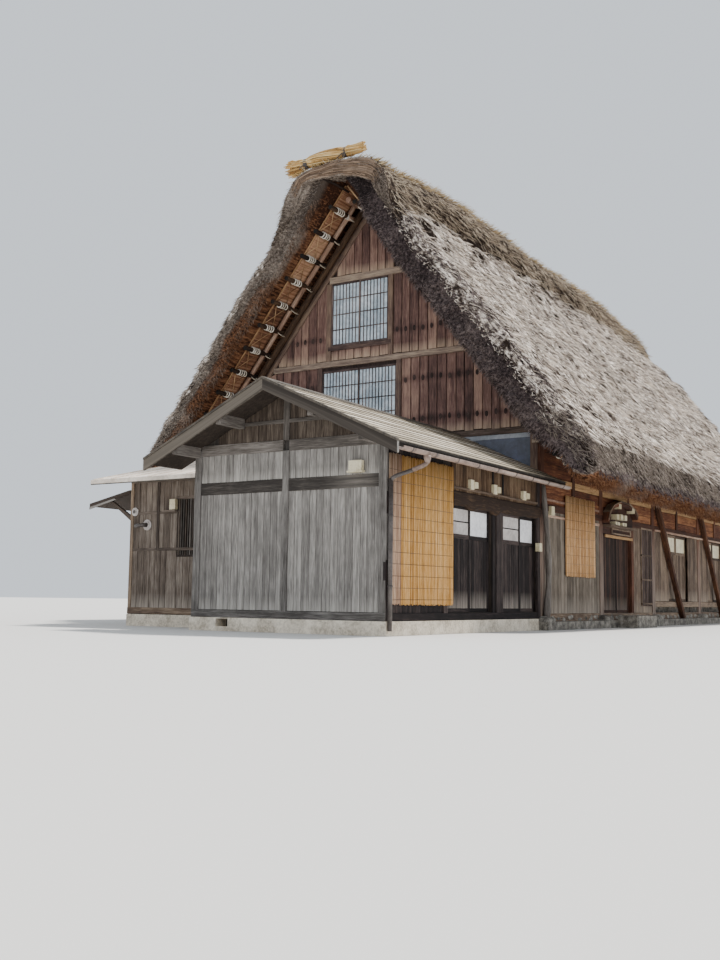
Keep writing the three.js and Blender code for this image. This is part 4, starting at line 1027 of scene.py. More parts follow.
def lattice_window(piece, wall, x, z, deep, slats, rows, paper_at):
    """Two sashes side by side: a dark frame, thin slats with cross rows, and paper behind them."""
    d0, d1 = deep
    middle = (x[0] + x[1]) / 2
    piece.slab(wall, (x[0] + 0.02, x[1] - 0.02), (z[0] + 0.02, z[1] - 0.02), (paper_at - 0.006, paper_at),
               finish=1, tone=0)
    for k, (w0, w1) in enumerate(((x[0], middle + 0.02), (middle - 0.02, x[1]))):
        push = 0.0 if k == 0 else -0.008
        for w in (w0 + 0.02, w1 - 0.02):
            piece.beam(wall, (w, z[0]), (w, z[1]), 0.04, (d0, d1 + push), finish=0)
        for h in (z[0] + 0.025, z[1] - 0.02):
            piece.beam(wall, (w0 + 0.02, h), (w1 - 0.02, h), 0.045, (d0, d1 + push), finish=0)
        for i in range(1, slats):
            w = w0 + 0.04 + (w1 - w0 - 0.08) * i / slats
            piece.beam(wall, (w, z[0] + 0.03), (w, z[1] - 0.03), 0.014, (paper_at, paper_at + 0.014), chamfer=0.001)
        for i in range(1, rows + 1):
            h = z[0] + 0.03 + (z[1] - z[0] - 0.06) * i / (rows + 1)
            piece.beam(wall, (w0 + 0.04, h), (w1 - 0.04, h), 0.017, (paper_at, paper_at + 0.016), chamfer=0.001)


def gable_end(name, wall):
    """One gable end: frame, upright boards with their stains, and two lattice windows."""
    # Each window: its span, its foot and top, and its number of slats
    windows = {"upper": ((-0.878, 0.525), (5.79, 7.15), 8), "lower": ((-1.088, 0.733), (3.98, 5.28), 11)}
    timbers, boards = Piece(), Piece()
    reach = 3.80
    deep = (-FACE, 0.0)
    for side in (-1, 1):
        timbers.beam(wall, (side * 3.725, 0.15), (side * 3.725, roof_line(3.80, WALL_TOP_DEPTH)), 0.15, deep, 12, 0.006)
        # The rake board follows the roof from the corner post to the apex
        down = 0.095 / SLOPE_COS
        timbers.beam(wall, (side * 3.78, roof_line(3.78, WALL_TOP_DEPTH) - down),
                     (0.0, roof_line(0.0, WALL_TOP_DEPTH) - down), 0.19, deep, 12, 0.006)
        # The band beam's end pokes out past the corner post
        timbers.beam(wall, (side * 3.70, 3.535), (side * 3.84, 3.535), 0.17, (0.001, 0.035), finish=1)
    timbers.beam(wall, (-reach, 0.225), (reach, 0.225), 0.15, deep, 14, 0.006)
    for (low, high), past in ((BAND, 0.0), (TIE, 0.03), (COLLAR, 0.03)):
        end = min(reach - 0.1, roof_x(high, WALL_TOP_DEPTH + 0.19) + past)
        timbers.beam(wall, (-end, (low + high) / 2), (end, (low + high) / 2), high - low, (-FACE, 0.010), 14, 0.008,
                     finish=1)
    bays = ((TIE[1], COLLAR[0]), (BAND[1], TIE[0]))
    for (x, z, _), (low, high) in zip(windows.values(), bays):
        for w in (x[0] - 0.055, x[1] + 0.055):
            timbers.beam(wall, (w, low), (w, high), 0.11, (-FACE, 0.002), 5, 0.004)
        timbers.beam(wall, (x[0] - 0.07, z[0] - 0.045), (x[1] + 0.07, z[0] - 0.045), 0.09, (-FACE, 0.006), 5, 0.003)
    timbers.make(f"{name}_gable_timbers", "gable_boards", [gable_timber, gable_beam], [f"{name}_gable_frame"])

    depth = (-FACE, -0.018)
    under = lambda w: roof_line(w, WALL_TOP_DEPTH + 0.17)
    zones = [((-1.9, 1.9), COLLAR[1], under, ())]
    for (x, z, _), (low, high), stains in zip(windows.values(), bays, ((5.97,), (4.93, 4.10))):
        limit = lambda w, high=high: min(high, under(w))
        zones += [((-3.65, x[0] - 0.11), low, limit, stains), ((x[1] + 0.11, 3.65), low, limit, stains),
                  ((x[0], x[1]), low, z[0] - 0.09, ())]
    # On the front the sheet-metal panel takes the upper right part of the lowest zone
    panel = name == "front"
    zones.append(((-3.65, 0.42), 0.30, BAND[0], ()))
    zones.append(((0.42, 3.65), 0.30, 2.90 if panel else BAND[0], ()))
    if panel:
        boards.slab(wall, (0.42, 3.65), (3.575, 3.66), (-FACE, -0.012), finish=2, tone=0)
    for span, low, top, stains in zones:
        boards.boarding(wall, span, low, top, depth, 0.2, 0.012, rough=0.03, lap=0.010, splash=0.20, stains=stains)
        for h in stains:
            w = span[0] + 0.1
            while w < span[1] - 0.05:
                if top(w) > h + 0.12:
                    boards.oval(wall, w, h + chance.uniform(-0.02, 0.02), 0.07, 0.115, (-0.020, -0.0165), finish=1,
                                tone=chance.uniform(-1, 1))
                w += 0.2
    boards.make(f"{name}_gable_boards", "gable_boards", [gable_board, stain, slate_band])

    for label, (x, z, slats) in windows.items():
        sashes = Piece()
        lattice_window(sashes, wall, x, z, (-0.085, -0.010), slats, 3, -0.032)
        sashes.make(f"{name}_window_{label}_sashes", "shoji", [slat, paper], [f"{name}_window_{label}"])


# Long sides

def side_timbers(piece, wall):
    """Posts, short posts and rails of a long side; the pale beam runs behind the posts."""
    for w0, w1 in POSTS:
        piece.beam(wall, ((w0 + w1) / 2, 0.15), ((w0 + w1) / 2, PLATE), w1 - w0, (-FACE, 0.0), 10, 0.008,
                   wear=[1.0, 0.9, 0.75, 0.6, 0.5, 0.3] + [0.0] * 5)
    for w in STRUTS:
        piece.beam(wall, (w, 2.33), (w, PLATE), 0.14, (-FACE, 0.004), 4, 0.006)
    piece.beam(wall, (0, 3.78), (HOUSE, 3.78), 0.16, (-FACE, 0.004), 20, 0.006)
    piece.beam(wall, (0, 2.79), (HOUSE, 2.79), 0.13, (-FACE, -0.006), 24, 0.012, finish=1)
    piece.beam(wall, (0, 2.265), (HOUSE, 2.265), 0.13, (-FACE, 0.002), 20, 0.006)
    piece.beam(wall, (0.05, 0.225), (HOUSE - 0.05, 0.225), 0.15, (-FACE - 0.1, -0.004), 20, 0.006,
               finish=2)


def upper_planks(piece, wall):
    """Level planks between the posts, from the lintel up to the eave."""
    edges = sorted([w for pair in POSTS for w in pair] + [w + s for w in STRUTS for s in (-0.07, 0.07)])[1:-1]
    for span in zip(edges[::2], edges[1::2]):
        piece.planking(wall, span, 2.335, 2.72, (-FACE + 0.001, -0.022), 0.19)
        piece.planking(wall, span, 2.86, 3.70, (-FACE + 0.001, -0.022), 0.24)


def entrance_ornament():
    """A plain generic ornament over the entrance: a curved board with pale blocks over a shelf."""
    piece = Piece()
    arch = [(3.26, 2.20), (3.36, 2.38), (3.60, 2.53), (4.05, 2.63), (4.58, 2.61), (4.96, 2.52), (5.14, 2.38)]
    piece.plate(right, arch + [(5.14, 2.14), (3.26, 2.14)], (-0.02, 0.012), tone=-1)
    for start, end in zip(arch, arch[1:]):
        piece.beam(right, start, end, 0.075, (-0.010, 0.14), 1, chamfer=0.008)
        piece.beam(right, (start[0], start[1] + 0.045), (end[0], end[1] + 0.045), 0.022, (-0.005, 0.16),
                   chamfer=0.004, finish=2)
    for w, h, wide, high in ((3.98, 2.565, 0.14, 0.10), (4.84, 2.53, 0.15, 0.11), (3.82, 2.33, 0.12, 0.11),
                             (4.08, 2.34, 0.11, 0.12), (4.34, 2.34, 0.12, 0.11), (3.80, 2.19, 0.26, 0.07),
                             (4.24, 2.19, 0.26, 0.07)):
        for k in (-1, 1):
            piece.slab(right, (w + k * wide * 0.28 - wide * 0.2, w + k * wide * 0.28 + wide * 0.2),
                       (h - high / 2, h + high / 2), (0.0, 0.145), finish=1)
    piece.beam(right, (3.30, 2.125), (4.95, 2.125), 0.04, (0.0, 0.17), 4, 0.004, chamfer=0.006, finish=2)
    for h in (1.985, 2.085):
        piece.beam(right, (3.80, h), (5.00, h), 0.03, (0.0, 0.02), chamfer=0.003, finish=2)
    for w in (3.80, 5.00):
        piece.beam(right, (w, 1.97), (w, 2.10), 0.04, (0.0, 0.02), chamfer=0.003, finish=2)
    piece.beam(right, (3.40, 1.915), (5.12, 1.915), 0.06, (-0.004, 0.020), 4, 0.004, finish=3)
    piece.make("entrance_ornament", "side_planks", [side_timber, cream_box, side_board, pale_beam])


def right_side():
    """The seen long side: frame, low boards round the doorways, braces, slats and covers."""
    timbers = Piece()
    side_timbers(timbers, right)
    deep = (-0.14, -0.004)
    # The sill lies clear of the sliding leaves' lower edges
    timbers.beam(right, (6.7, 0.496), (13.67, 0.496), 0.13, deep, 10, 0.004, finish=2)
    timbers.beam(right, (5.175, 0.15), (5.175, 2.2), 0.15, deep, 4, 0.005)
    timbers.beam(right, (3.28, 2.075), (5.12, 2.075), 0.25, deep, 4, 0.006)
    for w0, w1 in ((6.735, 7.87), (9.53, 10.385), (10.575, 11.33), (12.93, 13.655)):
        timbers.boarding(right, (w0, w1), 0.57, LINTEL, (-FACE, -0.018), 0.16, splash=0.3, finish=2)
    # Pale weathered strips along the lintel over the storm boards, and two thin rails on the near wall
    timbers.beam(right, (6.75, 2.225), (13.65, 2.225), 0.045, (0.0, 0.016), 14, 0.006, finish=3)
    timbers.beam(right, (0.22, 2.115), (3.08, 2.115), 0.05, (-0.020, 0.002), 6, 0.006, finish=3)
    timbers.beam(right, (0.22, 2.42), (3.08, 2.40), 0.04, (-0.022, 0.000), 6, 0.006, finish=3)
    timbers.make("right_side_timbers", "side_planks", [side_timber, pale_beam, side_board, pale_log],
                 ["right_wall_frame"])

    boards = Piece()
    upper_planks(boards, right)
    for span, finish in (((0.2, 3.1), 1), ((5.25, 6.54), 2)):
        boards.boarding(right, span, BOARD_FOOT, LINTEL, SIDE_BOARDS, 0.16, splash=0.35, finish=finish)
    boards.make("right_side_boards", "side_planks", [side_plank, grey_brown, side_board])

    for label, top, foot in (("near", (6.70, 2.97), 8.74), ("far", (10.49, 2.85), 12.55)):
        brace = Piece()
        brace.beam(right, top, (foot, 0.155), 0.13, (0.001, 0.11), 12, 0.014, 0.012)
        brace.make(f"side_brace_{label}_timber", "side_planks", [brace_timber], [f"side_brace_{label}"])

    # A lattice of slats on the bay past the entrance
    extras = Piece()
    lattice, slats = (5.80, 6.53), 15
    for k in range(slats):
        w = lattice[0] + (lattice[1] - lattice[0]) * k / (slats - 1)
        extras.beam(right, (w, 0.45), (w, 2.24), 0.022, (-0.018, 0.002), chamfer=0.002, finish=k % 3 == 0)
    for h in (0.50, 1.05, 1.60, 2.21):
        extras.beam(right, (lattice[0] - 0.03, h), (lattice[1], h), 0.04, (-0.020, 0.008), chamfer=0.003, finish=1)
    # Switch and meter covers
    for w, h, wide, high in ((0.47, 2.21, 0.15, 0.17), (-0.115, 1.50, 0.12, 0.15)):
        extras.slab(right, (w - wide / 2, w + wide / 2), (h - high / 2, h + high / 2), (-0.02, 0.06), finish=2)
    extras.make("right_side_trim", "side_planks", [slat, side_board, cream_box])
    entrance_ornament()


def left_side():
    """The unseen long side repeats the other, with three windows in place of doors."""
    timbers = Piece()
    side_timbers(timbers, left)
    windows, sill = ((3.9, 5.7), (7.6, 9.4), (11.2, 13.0)), 1.1
    for span in windows:
        lattice_window(timbers, left, span, (sill, LINTEL), (-0.040, -0.003), 6, 3, -0.030)
    timbers.make("left_side_timbers", "side_planks", [side_timber, paper, side_board, pale_beam], ["left_wall_frame"])
    boards = Piece()
    upper_planks(boards, left)
    spans = ((0.2, 3.1), (3.3, 3.9), (5.7, 6.54), (6.74, 7.6), (9.4, 10.38), (10.58, 11.2), (13.0, 13.65))
    for span in spans + windows:
        top = sill if span in windows else LINTEL
        boards.boarding(left, span, BOARD_FOOT, top, SIDE_BOARDS, 0.18, splash=0.35, finish=1)
    boards.make("left_side_boards", "side_planks", [side_plank, side_board])


# Sliding doors

def door_leaf(name, x, y, z, pane, looks, slot, muntin=False):
    """One sliding leaf: stiles, rails, narrow boards with bleached feet, and a pane over them."""
    leaf = Piece()
    stile = 0.06
    deep = (x[0] - HALF, x[1] - HALF)
    inner = (deep[0] + 0.008, deep[1] - 0.008)
    for w in (y[0] + stile / 2, y[1] - stile / 2):
        leaf.beam(right, (w, z[0]), (w, z[1]), stile, deep, chamfer=0.003)
    rails = [(z[0], z[0] + stile), (z[1] - stile, z[1])] + ([(pane[0] - 0.07, pane[0])] if pane else [])
    for low, high in rails:
        h = (low + high) / 2
        leaf.beam(right, (y[0] + stile / 2, h), (y[1] - stile / 2, h), high - low, deep, chamfer=0.003)
    board_top = pane[0] - 0.06 if pane else z[1] - 0.05
    leaf.boarding(right, (y[0] + 0.05, y[1] - 0.05), z[0] + 0.05, board_top, inner, 0.09, 0.010, splash=0.30)
    if pane:
        d = (deep[0] + deep[1]) / 2
        leaf.slab(right, (y[0] + 0.05, y[1] - 0.05), (pane[0] - 0.01, z[1] - 0.05), (d - 0.003, d + 0.003),
                  finish=1, tone=0)
        if muntin:
            h = (pane[0] + z[1] - 0.06) / 2
            leaf.beam(right, (y[0] + 0.05, h), (y[1] - 0.05, h), 0.018, (d, deep[1] - 0.004), chamfer=0.002)
    leaf.make(f"{name}_leaf", slot, looks, [name], name.replace("_door", "_leaf"))


def doors():
    """Five pairs of leaves; in the first three a pair's leaves run on two tracks and lap in the middle."""
    for name, outside, span, z, pane, lap in (
            ("annex_door_1", 3.793, (-3.60, -1.97), (0.3303, 2.035), (1.57, 1.975), 0.045),
            ("annex_door_2", 3.793, (-1.55, -0.09), (0.3303, 2.035), (1.57, 1.975), 0.045),
            ("entrance_door", 3.795, (3.30, 5.10), (0.3003, 1.945), None, 0.04)):
        middle = sum(span) / 2
        board = door_board if pane else entrance_board
        door_leaf(f"{name}_near", (outside - 0.03, outside), (span[0] + 0.005, middle + lap), z, pane,
                  [board, frosted], "door_boards", muntin=True)
        door_leaf(f"{name}_far", (outside - 0.07, outside - 0.04), (middle - lap, span[1] - 0.005), z, pane,
                  [board, white_board], "door_boards")
    for name, meet, leaf in (("side_door_a", 8.70, 0.83), ("side_door_b", 12.13, 0.80)):
        for end, span in (("near", (meet - leaf - 0.03, meet - 0.005)), ("far", (meet + 0.005, meet + leaf + 0.03))):
            door_leaf(f"{name}_{end}", (3.725, 3.757), span, (0.5703, 2.195), (1.79, 2.145),
                      [side_board, cream_box], "side_planks")


# Annex and lean-to

def annex_side_lintel(piece):
    """The heavy dark log over the annex doors, with its naturally curved lower edge."""
    spots = np.linspace(-3.46, -0.02, 24)
    rings = []
    for w in spots:
        low = 2.02 - 0.06 * math.exp(-((w + 2.75) / 0.20) ** 2) - 0.07 * math.exp(-((w + 1.86) / 0.16) ** 2)
        low += 0.03 * noise.noise((w * 3, 1.7, 0))
        high = 2.25 + 0.01 * noise.noise((w * 2, 5.1, 0))
        section = [(-FACE, low), (-0.01, low), (0.022, low + 0.03), (0.030, (low + high) / 2), (0.022, high - 0.02),
                   (0.0, high), (-FACE, high)]
        rings.append([right.at(w, h, d) for d, h in section])
    piece.skin(rings, finish=4, tone=-1.5)


def annex():
    """The annex's frame, boards and small covers."""
    under = lambda w: annex_top(w) - ANNEX_DECK
    timbers, boards = Piece(), Piece()
    deep = (-FACE, 0.004)
    for w, wide, top in ((0.329, 0.13, under(0.264)), (2.054, 0.12, 2.74), (3.78, 0.13, under(3.845))):
        timbers.beam(annex_face, (w, 0.206), (w, top), wide, deep, 8, 0.006, finish=1, tone=-0.6)
    timbers.beam(annex_face, (2.054, 2.90), (2.054, 3.60), 0.11, (-FACE, 0.002), 4, 0.004, tone=-0.5)
    timbers.beam(annex_face, (ANNEX_LEFT, 0.266), (HALF, 0.266), 0.116, (-FACE, 0.008), 8, 0.004, finish=1, tone=-1)
    for w0, w1, wear in ((0.394, 1.994, [0.0] * 9), (2.114, 3.715, [0, 0, 0, 0, 0.1, 0.3, 0.45, 0.3, 0])):
        # The rain has bleached the band's right part
        timbers.beam(annex_face, (w0, 2.217), (w1, 2.217), 0.19, (-FACE, -0.002), 8, 0.006, tone=-1.3, wear=wear)
        timbers.beam(annex_face, (w0, 2.822), (w1, 2.822), 0.17, (-FACE, -0.002), 8, 0.006)
    timbers.beam(annex_face, (1.18, 3.195), (2.93, 3.195), 0.06, (-FACE, 0.001), 4, 0.003)
    for w, wide in ((-5.412, 0.13), (-3.665, 0.13), (-1.76, 0.18)):
        timbers.beam(right, (w, 0.206), (w, 2.05), wide, (-FACE, 0.0), 6, 0.008, finish=2)
    timbers.beam(right, (-0.075, 0.206), (-0.075, 2.82), 0.11, (-FACE, 0.006), 6, 0.008, finish=2)
    timbers.beam(right, (-5.40, 2.14), (-3.46, 2.14), 0.20, (-FACE, 0.0), 4, 0.006, finish=2)
    annex_side_lintel(timbers)
    timbers.beam(right, (-3.44, 2.305), (-0.14, 2.305), 0.035, (-0.02, 0.012), 10, 0.005, finish=3)
    timbers.beam(right, (-5.47, 0.263), (-0.01, 0.263), 0.114, (-FACE, 0.0), 6, 0.004, finish=2)
    timbers.beam(right, (-5.47, 2.76), (-0.01, 2.76), 0.12, (-FACE, 0.0), 6, 0.004, finish=2)
    for w in (-1.96, -1.57):
        timbers.beam(right, (w, 2.32), (w, 2.72), 0.05, (-FACE, -0.008), finish=2)
    # A bent pale pole leans in the corner beside the main house
    spots = np.linspace(0, 1, 12)
    bent = [(HALF + 0.07, 0.10 + 0.12 * math.sin(4.2 * t), 0.16 + 2.50 * t) for t in spots]
    timbers.rod(bent, [0.062 - 0.02 * t + 0.008 * math.sin(17 * t) for t in spots], 10)
    timbers.make("annex_timbers", "grey_boards", [grey_timber, grey_board, door_board, side_board, annex_side_board],
                 ["annex_frame"])

    depth = (-FACE, -0.016)
    look = {"gap": 0.005, "vary": 0.35}
    for w0, w1 in ((0.39, 2.0), (2.108, 3.715)):
        boards.boarding(annex_face, (w0, w1), 0.33, 2.13, depth, 0.125, splash=0.22, bleach=0.12, **look)
        boards.boarding(annex_face, (w0, w1), 2.30, 2.745, depth, 0.13, splash=0.16, bleach=0.22, **look)
        # The gable boards under the roof take the darker copy, painted eave shade
        boards.boarding(annex_face, (w0, w1), 2.90, lambda w: under(w) - 0.01, depth, 0.16, finish=1, **look)
    depth = (-FACE, -0.020)
    boards.boarding(right, (-3.45, -0.13), 2.24, 2.70, depth, 0.13, 0.006, finish=2)
    for span, top, pitch in (((-5.35, -3.73), 2.70, 0.2), ((-1.97, -1.85), 2.04, 0.12), ((-1.67, -1.55), 2.04, 0.12)):
        boards.boarding(right, span, 0.32, top, depth, pitch, finish=3)
    boards.make("annex_boards", "grey_boards", [grey_board, darker_eave_shade_board, annex_side_board, door_board])

    covers = Piece()
    covers.slab(annex_face, (3.24, 3.46), (2.36, 2.51), (0.0, 0.075))
    covers.slab(annex_face, (3.22, 3.48), (2.335, 2.36), (0.0, 0.095))
    for w in (-2.80, -1.93, -0.73):
        covers.slab(right, (w - 0.09, w + 0.03), (2.31, 2.47), (-0.02, 0.035))
        covers.slab(right, (w + 0.03, w + 0.14), (2.34, 2.44), (-0.02, 0.055))
    covers.make("annex_covers", "pale_sheet", [cream_box])


def annex_roof():
    """Two slopes of sheet in level courses over a plank deck, with purlins, verge and ridge trim."""
    for k, name in ((-1, "left"), (1, "right")):
        roof = Piece()
        eave = 2.3 * k + ANNEX_RIDGE[0]
        parts = [(eave, (0.02, 6.06))] if k > 0 else [(eave, (5.232, 6.06)), (ANNEX_LEFT, (0.02, 5.232))]
        for end, span in parts:
            x0, x1 = ANNEX_RIDGE[0], end
            for low, high, finish in ((0.09, 0.028, 1), (0.027, 0.006, 2)):
                outline = [(x0, annex_top(x0) - high), (x1, annex_top(x1) - high), (x1, annex_top(x1) - low),
                           (x0, annex_top(x0) - low)]
                roof.plate(front, outline, span, finish=finish)
            # Level courses: each sheet strip laps the one below, and its step face is near black as painted shade
            run = abs(x1 - x0) * math.hypot(1, ANNEX_FALL)
            count = round(run / 0.20)
            for i in range(count):
                xa, xb = (x0 + (x1 - x0) * t for t in (i / count, (i + 1) / count + 0.004))
                lift = chance.uniform(0.009, 0.015)
                strip = [(xa, annex_top(xa) - 0.005), (xa, annex_top(xa) - 0.001), (xb, annex_top(xb) + lift),
                         (xb, annex_top(xb) + lift - 0.005), (xb - 0.004 * k, annex_top(xb) - 0.005)]
                roof.plate(front, strip, (span[0], span[1] + chance.uniform(-0.004, 0.004)),
                           tone=chance.uniform(-2.5, 1.5))
                edge = [(xb, annex_top(xb) + lift - 0.001), (xb + 0.003 * k, annex_top(xb) + lift - 0.002),
                        (xb + 0.003 * k, annex_top(xb) - 0.006), (xb, annex_top(xb) - 0.006)]
                roof.plate(front, edge, span, finish=2)
        for x in ((0.33, 1.20) if k < 0 else (2.90, 3.78)):
            # Purlin stubs carry the verge
            high, half = annex_top(x) - 0.095, 0.05
            outline = [(x - half, high - 0.13), (x + half, high - 0.13), (x + half, annex_top(x + half) - ANNEX_DECK),
                       (x - half, annex_top(x - half) - ANNEX_DECK)]
            roof.plate(front, outline, (5.48, 6.045), finish=3)
            roof.plate(front, outline, (6.046, 6.058), finish=3)
        roof.make(f"annex_roof_{name}_courses", "annex_roofing", [annex_sheet, lean_shade_backing, dark_trim_and_step_shade, grey_timber],
                  [f"annex_roof_{name}"])

    trim = Piece()
    x, z = ANNEX_RIDGE
    cap = [(x - 0.16, z - 0.070), (x, z + 0.006), (x + 0.16, z - 0.070), (x + 0.16, z - 0.050), (x, z + 0.026),
           (x - 0.16, z - 0.050)]
    trim.plate(front, cap, (0.03, 6.09), finish=1)
    for k in (-1, 1):
        x0, x1 = x, x + k * 2.325
        for lift, low, out, finish in ((-0.012, 0.165, (-0.035, 0.0), 0), (0.024, 0.036, (-0.06, 0.018), 1)):
            outline = [(x0, annex_top(x0) + lift), (x1, annex_top(x1) + lift), (x1, annex_top(x1) + lift - low),
                       (x0, annex_top(x0) + lift - low)]
            trim.plate(verge_face, outline, out, finish=finish)
        # The slanted sawn end of each barge board
        outline = [(x1, annex_top(x1) - 0.012), (x1 + k * 0.012, annex_top(x1) - 0.016),
                   (x1 + k * 0.012, annex_top(x1) - 0.155), (x1, annex_top(x1) - 0.177)]
        trim.plate(verge_face, outline, (-0.034, -0.001), finish=2)
    trim.make("annex_verge_boards", "grey_boards", [eave_board, dark_trim_and_step_shade, grey_board], ["annex_barge_boards"])


def gutter():
    """A half-round gutter in straps, an outlet, and the pipe that bends back to the annex corner."""
    piece = Piece()
    centre, outlet = (4.409, 2.592), -5.307
    down = (3.901, -5.447)

    def half_round(outer, inner, steps):
        turns = np.linspace(math.pi, 2 * math.pi, steps)
        back = np.linspace(2 * math.pi, math.pi, steps)
        return [(centre[0] + r * math.cos(a), centre[1] + r * math.sin(a))
                for r, line in ((outer, turns), (inner, back)) for a in line]

    piece.plate(front, half_round(0.055, 0.049, 13), (0.03, 6.05), smooth=True)
    for k in range(9):
        y = -0.35 - k * 0.68
        piece.plate(front, half_round(0.061, 0.0555, 9), (-y - 0.012, -y + 0.012), finish=1)
    piece.rod([(4.409, outlet, 2.545), (4.409, outlet, 2.50), (4.409, outlet, 2.46), (4.405, outlet, 2.44)],
              [0.055, 0.052, 0.040, 0.036], 16)
    piece.rod([(4.405, outlet, 2.47), (4.39, outlet, 2.43), (4.34, outlet - 0.01, 2.40), (4.20, -5.352, 2.345)],
              0.034, 14)
    piece.rod([(4.22, -5.345, 2.353), (3.97, -5.43, 2.265), (3.92, -5.445, 2.235), (*down, 2.19)], 0.030, 14, finish=1)
    piece.rod([(*down, 2.23), (*down, 1.2), (*down, 0.07)], 0.034, 14, finish=1)
    for z in (0.7, 1.7):
        piece.rod([(*down, z - 0.012), (*down, z + 0.012)], 0.040, 14, finish=1)
    piece.make("gutter_run", "gutter", [pipe_plastic, dark_pipe], ["gutter_and_downpipe"])


def lean_to():
    """The lean-to's frame, boards, vents and roof trim."""
    timbers, boards = Piece(), Piece()
    under = lean_top(LEAN_FRONT) - 0.065
    for w, wide, foot, finish in ((-2.065, 0.07, 0.21, 1), (-1.44, 0.06, 1.33, 0), (0.20, 0.10, 0.21, 0)):
        timbers.beam(lean_face, (w, foot), (w, under), wide, (0.001, 0.026), 6, 0.005, finish=finish)
    for h, wide in ((1.335, 0.05), (1.98, 0.05), (2.23, 0.05)):
        w0 = -1.02 if h > 2.1 else -2.03
        w1 = 0.15 if h != 1.98 else -1.02
        timbers.beam(lean_face, (w0, h), (w1, h), wide, (0.001, 0.020), 6, 0.004)
    timbers.beam(lean_face, (-2.1, 0.27), (0.26, 0.27), 0.11, (0.001, 0.030), 6, 0.004, finish=1)
    timbers.beam(lean_face, (-2.1, under - 0.06), (0.26, under - 0.06), 0.10, (0.001, 0.030), 6, 0.004)
    for k in range(9):
        w = -0.96 + k * 0.052
        timbers.beam(lean_face, (w, 1.235), (w, 2.20), 0.020, (-0.03, 0.012), chamfer=0.002, finish=2 if k % 3 else 0)
    timbers.make("lean_to_timbers", "gable_boards", [lean_timber, side_board, grey_timber])

    deep = (0.0005, 0.014)
    # The boards leave the barred window open
    top = under - 0.11
    for w0, w1, low, high, splash in ((-2.03, -1.00, 0.32, 1.32, 0.25), (-1.00, 0.15, 0.32, 1.20, 0.25),
                                      (-2.03, -1.00, 1.34, top, 0.0), (-1.00, -0.52, 2.22, top, 0.0),
                                      (-0.52, 0.15, 1.20, top, 0.0)):
        boards.boarding(lean_face, (w0, w1), low, high, deep, 0.14, 0.006, splash=splash, vary=0.4)
    boards.boarding(lean_side, (-4.44, -0.02), 0.25, lambda w: lean_top(w) - 0.07, deep, 0.16, splash=0.3)
    boards.make("lean_to_boards", "gable_boards", [lean_board])

    # Two round vents, one with a dark pipe stub, and a meter cover on a little shelf
    fittings = Piece()
    for w, h, r in ((-1.99, 2.01, 0.075), (-1.69, 1.77, 0.095)):
        fittings.oval(lean_face, w, h, 2 * r, 2 * r, (0.010, 0.030), 20, tone=0)
        fittings.oval(lean_face, w, h, 1.3 * r, 1.3 * r, (0.030, 0.045), 20, tone=0)
        fittings.oval(lean_face, w, h, 0.9 * r, 0.9 * r, (0.045, 0.050), 16, tone=0, finish=1)
    fittings.rod([lean_face.at(-1.69, 1.77, 0.04), lean_face.at(-1.72, 1.765, 0.10), lean_face.at(-1.80, 1.76, 0.12),
                  lean_face.at(-1.88, 1.75, 0.12)], 0.035, 12, finish=1)
    fittings.slab(lean_face, (-1.13, -1.00), (2.02, 2.20), (0.010, 0.080), finish=2)
    fittings.slab(lean_face, (-1.28, -0.98), (1.985, 2.005), (0.010, 0.11), finish=3)
    fittings.make("lean_to_fittings", "pale_sheet", [frosted, dark_pipe, cream_box, lean_timber])

    # Folded seams down the pale roof, its drip edge, and the canopy's weathered end board
    roof = Piece()
    for k in range(7):
        x = -2.44 + k * 0.43
        ring = lambda y: [(x - 0.008, y, lean_top(y) - 0.001), (x + 0.008, y, lean_top(y) - 0.001),
                          (x + 0.006, y, lean_top(y) + 0.016), (x - 0.006, y, lean_top(y) + 0.016)]
        roof.skin([ring(-5.07), ring(-0.06)], tone=0)
    low = lean_top(-5.08)
    roof.slab(front, (-2.49, 0.20), (low - 0.066, low + 0.004), (5.081, 5.088), tone=0)
    roof.slab(front, (-2.49, 0.20), (low - 0.082, low - 0.067), (5.060, 5.086), finish=1)
    fall = lambda x: 2.42 + 0.21 * (x + 2.10)
    outline = [(-3.17, fall(-3.17) + 0.006), (-2.16, fall(-2.16) + 0.006), (-2.16, fall(-2.16) - 0.07),
               (-3.17, fall(-3.17) - 0.10)]
    roof.plate(front, outline, (4.431, 4.443), finish=3)
    outline = [(-3.17, fall(-3.17) - 0.06), (-2.55, fall(-2.55) - 0.05), (-2.50, fall(-2.50) - 0.085),
               (-3.17, fall(-3.17) - 0.10)]
    roof.plate(front, outline, (4.443, 4.452), finish=2)
    roof.make("lean_to_roof_trim", "pale_sheet", [lean_sheet, dark_trim_and_step_shade, grey_post, lean_timber])


def reed_screens():
    """Upright reeds bound with threads; the annex screen's left strip is older and faded."""
    reed_pitch, thread_pitch = 0.0125, 0.17
    for name, parts, z in (("annex_reed_screen", ((-5.43, -5.07, 2), (-5.07, -3.45, 0)), (0.43, 2.62)),
                           ("side_reed_screen", ((1.2, 2.8, 0),), (1.0, 2.58))):
        piece = Piece()
        for w0, w1, finish in parts:
            for k in range(int((w1 - w0) / reed_pitch)):
                w = w0 + (k + 0.5) * reed_pitch
                sway = chance.uniform(-0.003, 0.003)
                piece.rod([(HALF + 0.011, w, z[0] + chance.uniform(0, 0.03)),
                           (HALF + 0.010, w + sway, sum(z) / 2), (HALF + 0.010, w, z[1] - chance.uniform(0, 0.03))],
                          0.0066, 5, finish=finish)
        low, high = parts[0][0], parts[-1][1]
        for k in range(int((z[1] - z[0]) / thread_pitch)):
            h = z[0] + 0.08 + k * thread_pitch
            piece.beam(right, (low, h), (high, h + 0.01), 0.005, (0.012, 0.0180), 6, 0.003, chamfer=0.001, finish=1)
        looks = [reed, dark_trim_and_step_shade, reed_old] if name.startswith("annex") else [reed_side, side_board]
        piece.make(f"{name}_reeds", "reed", looks, [name])


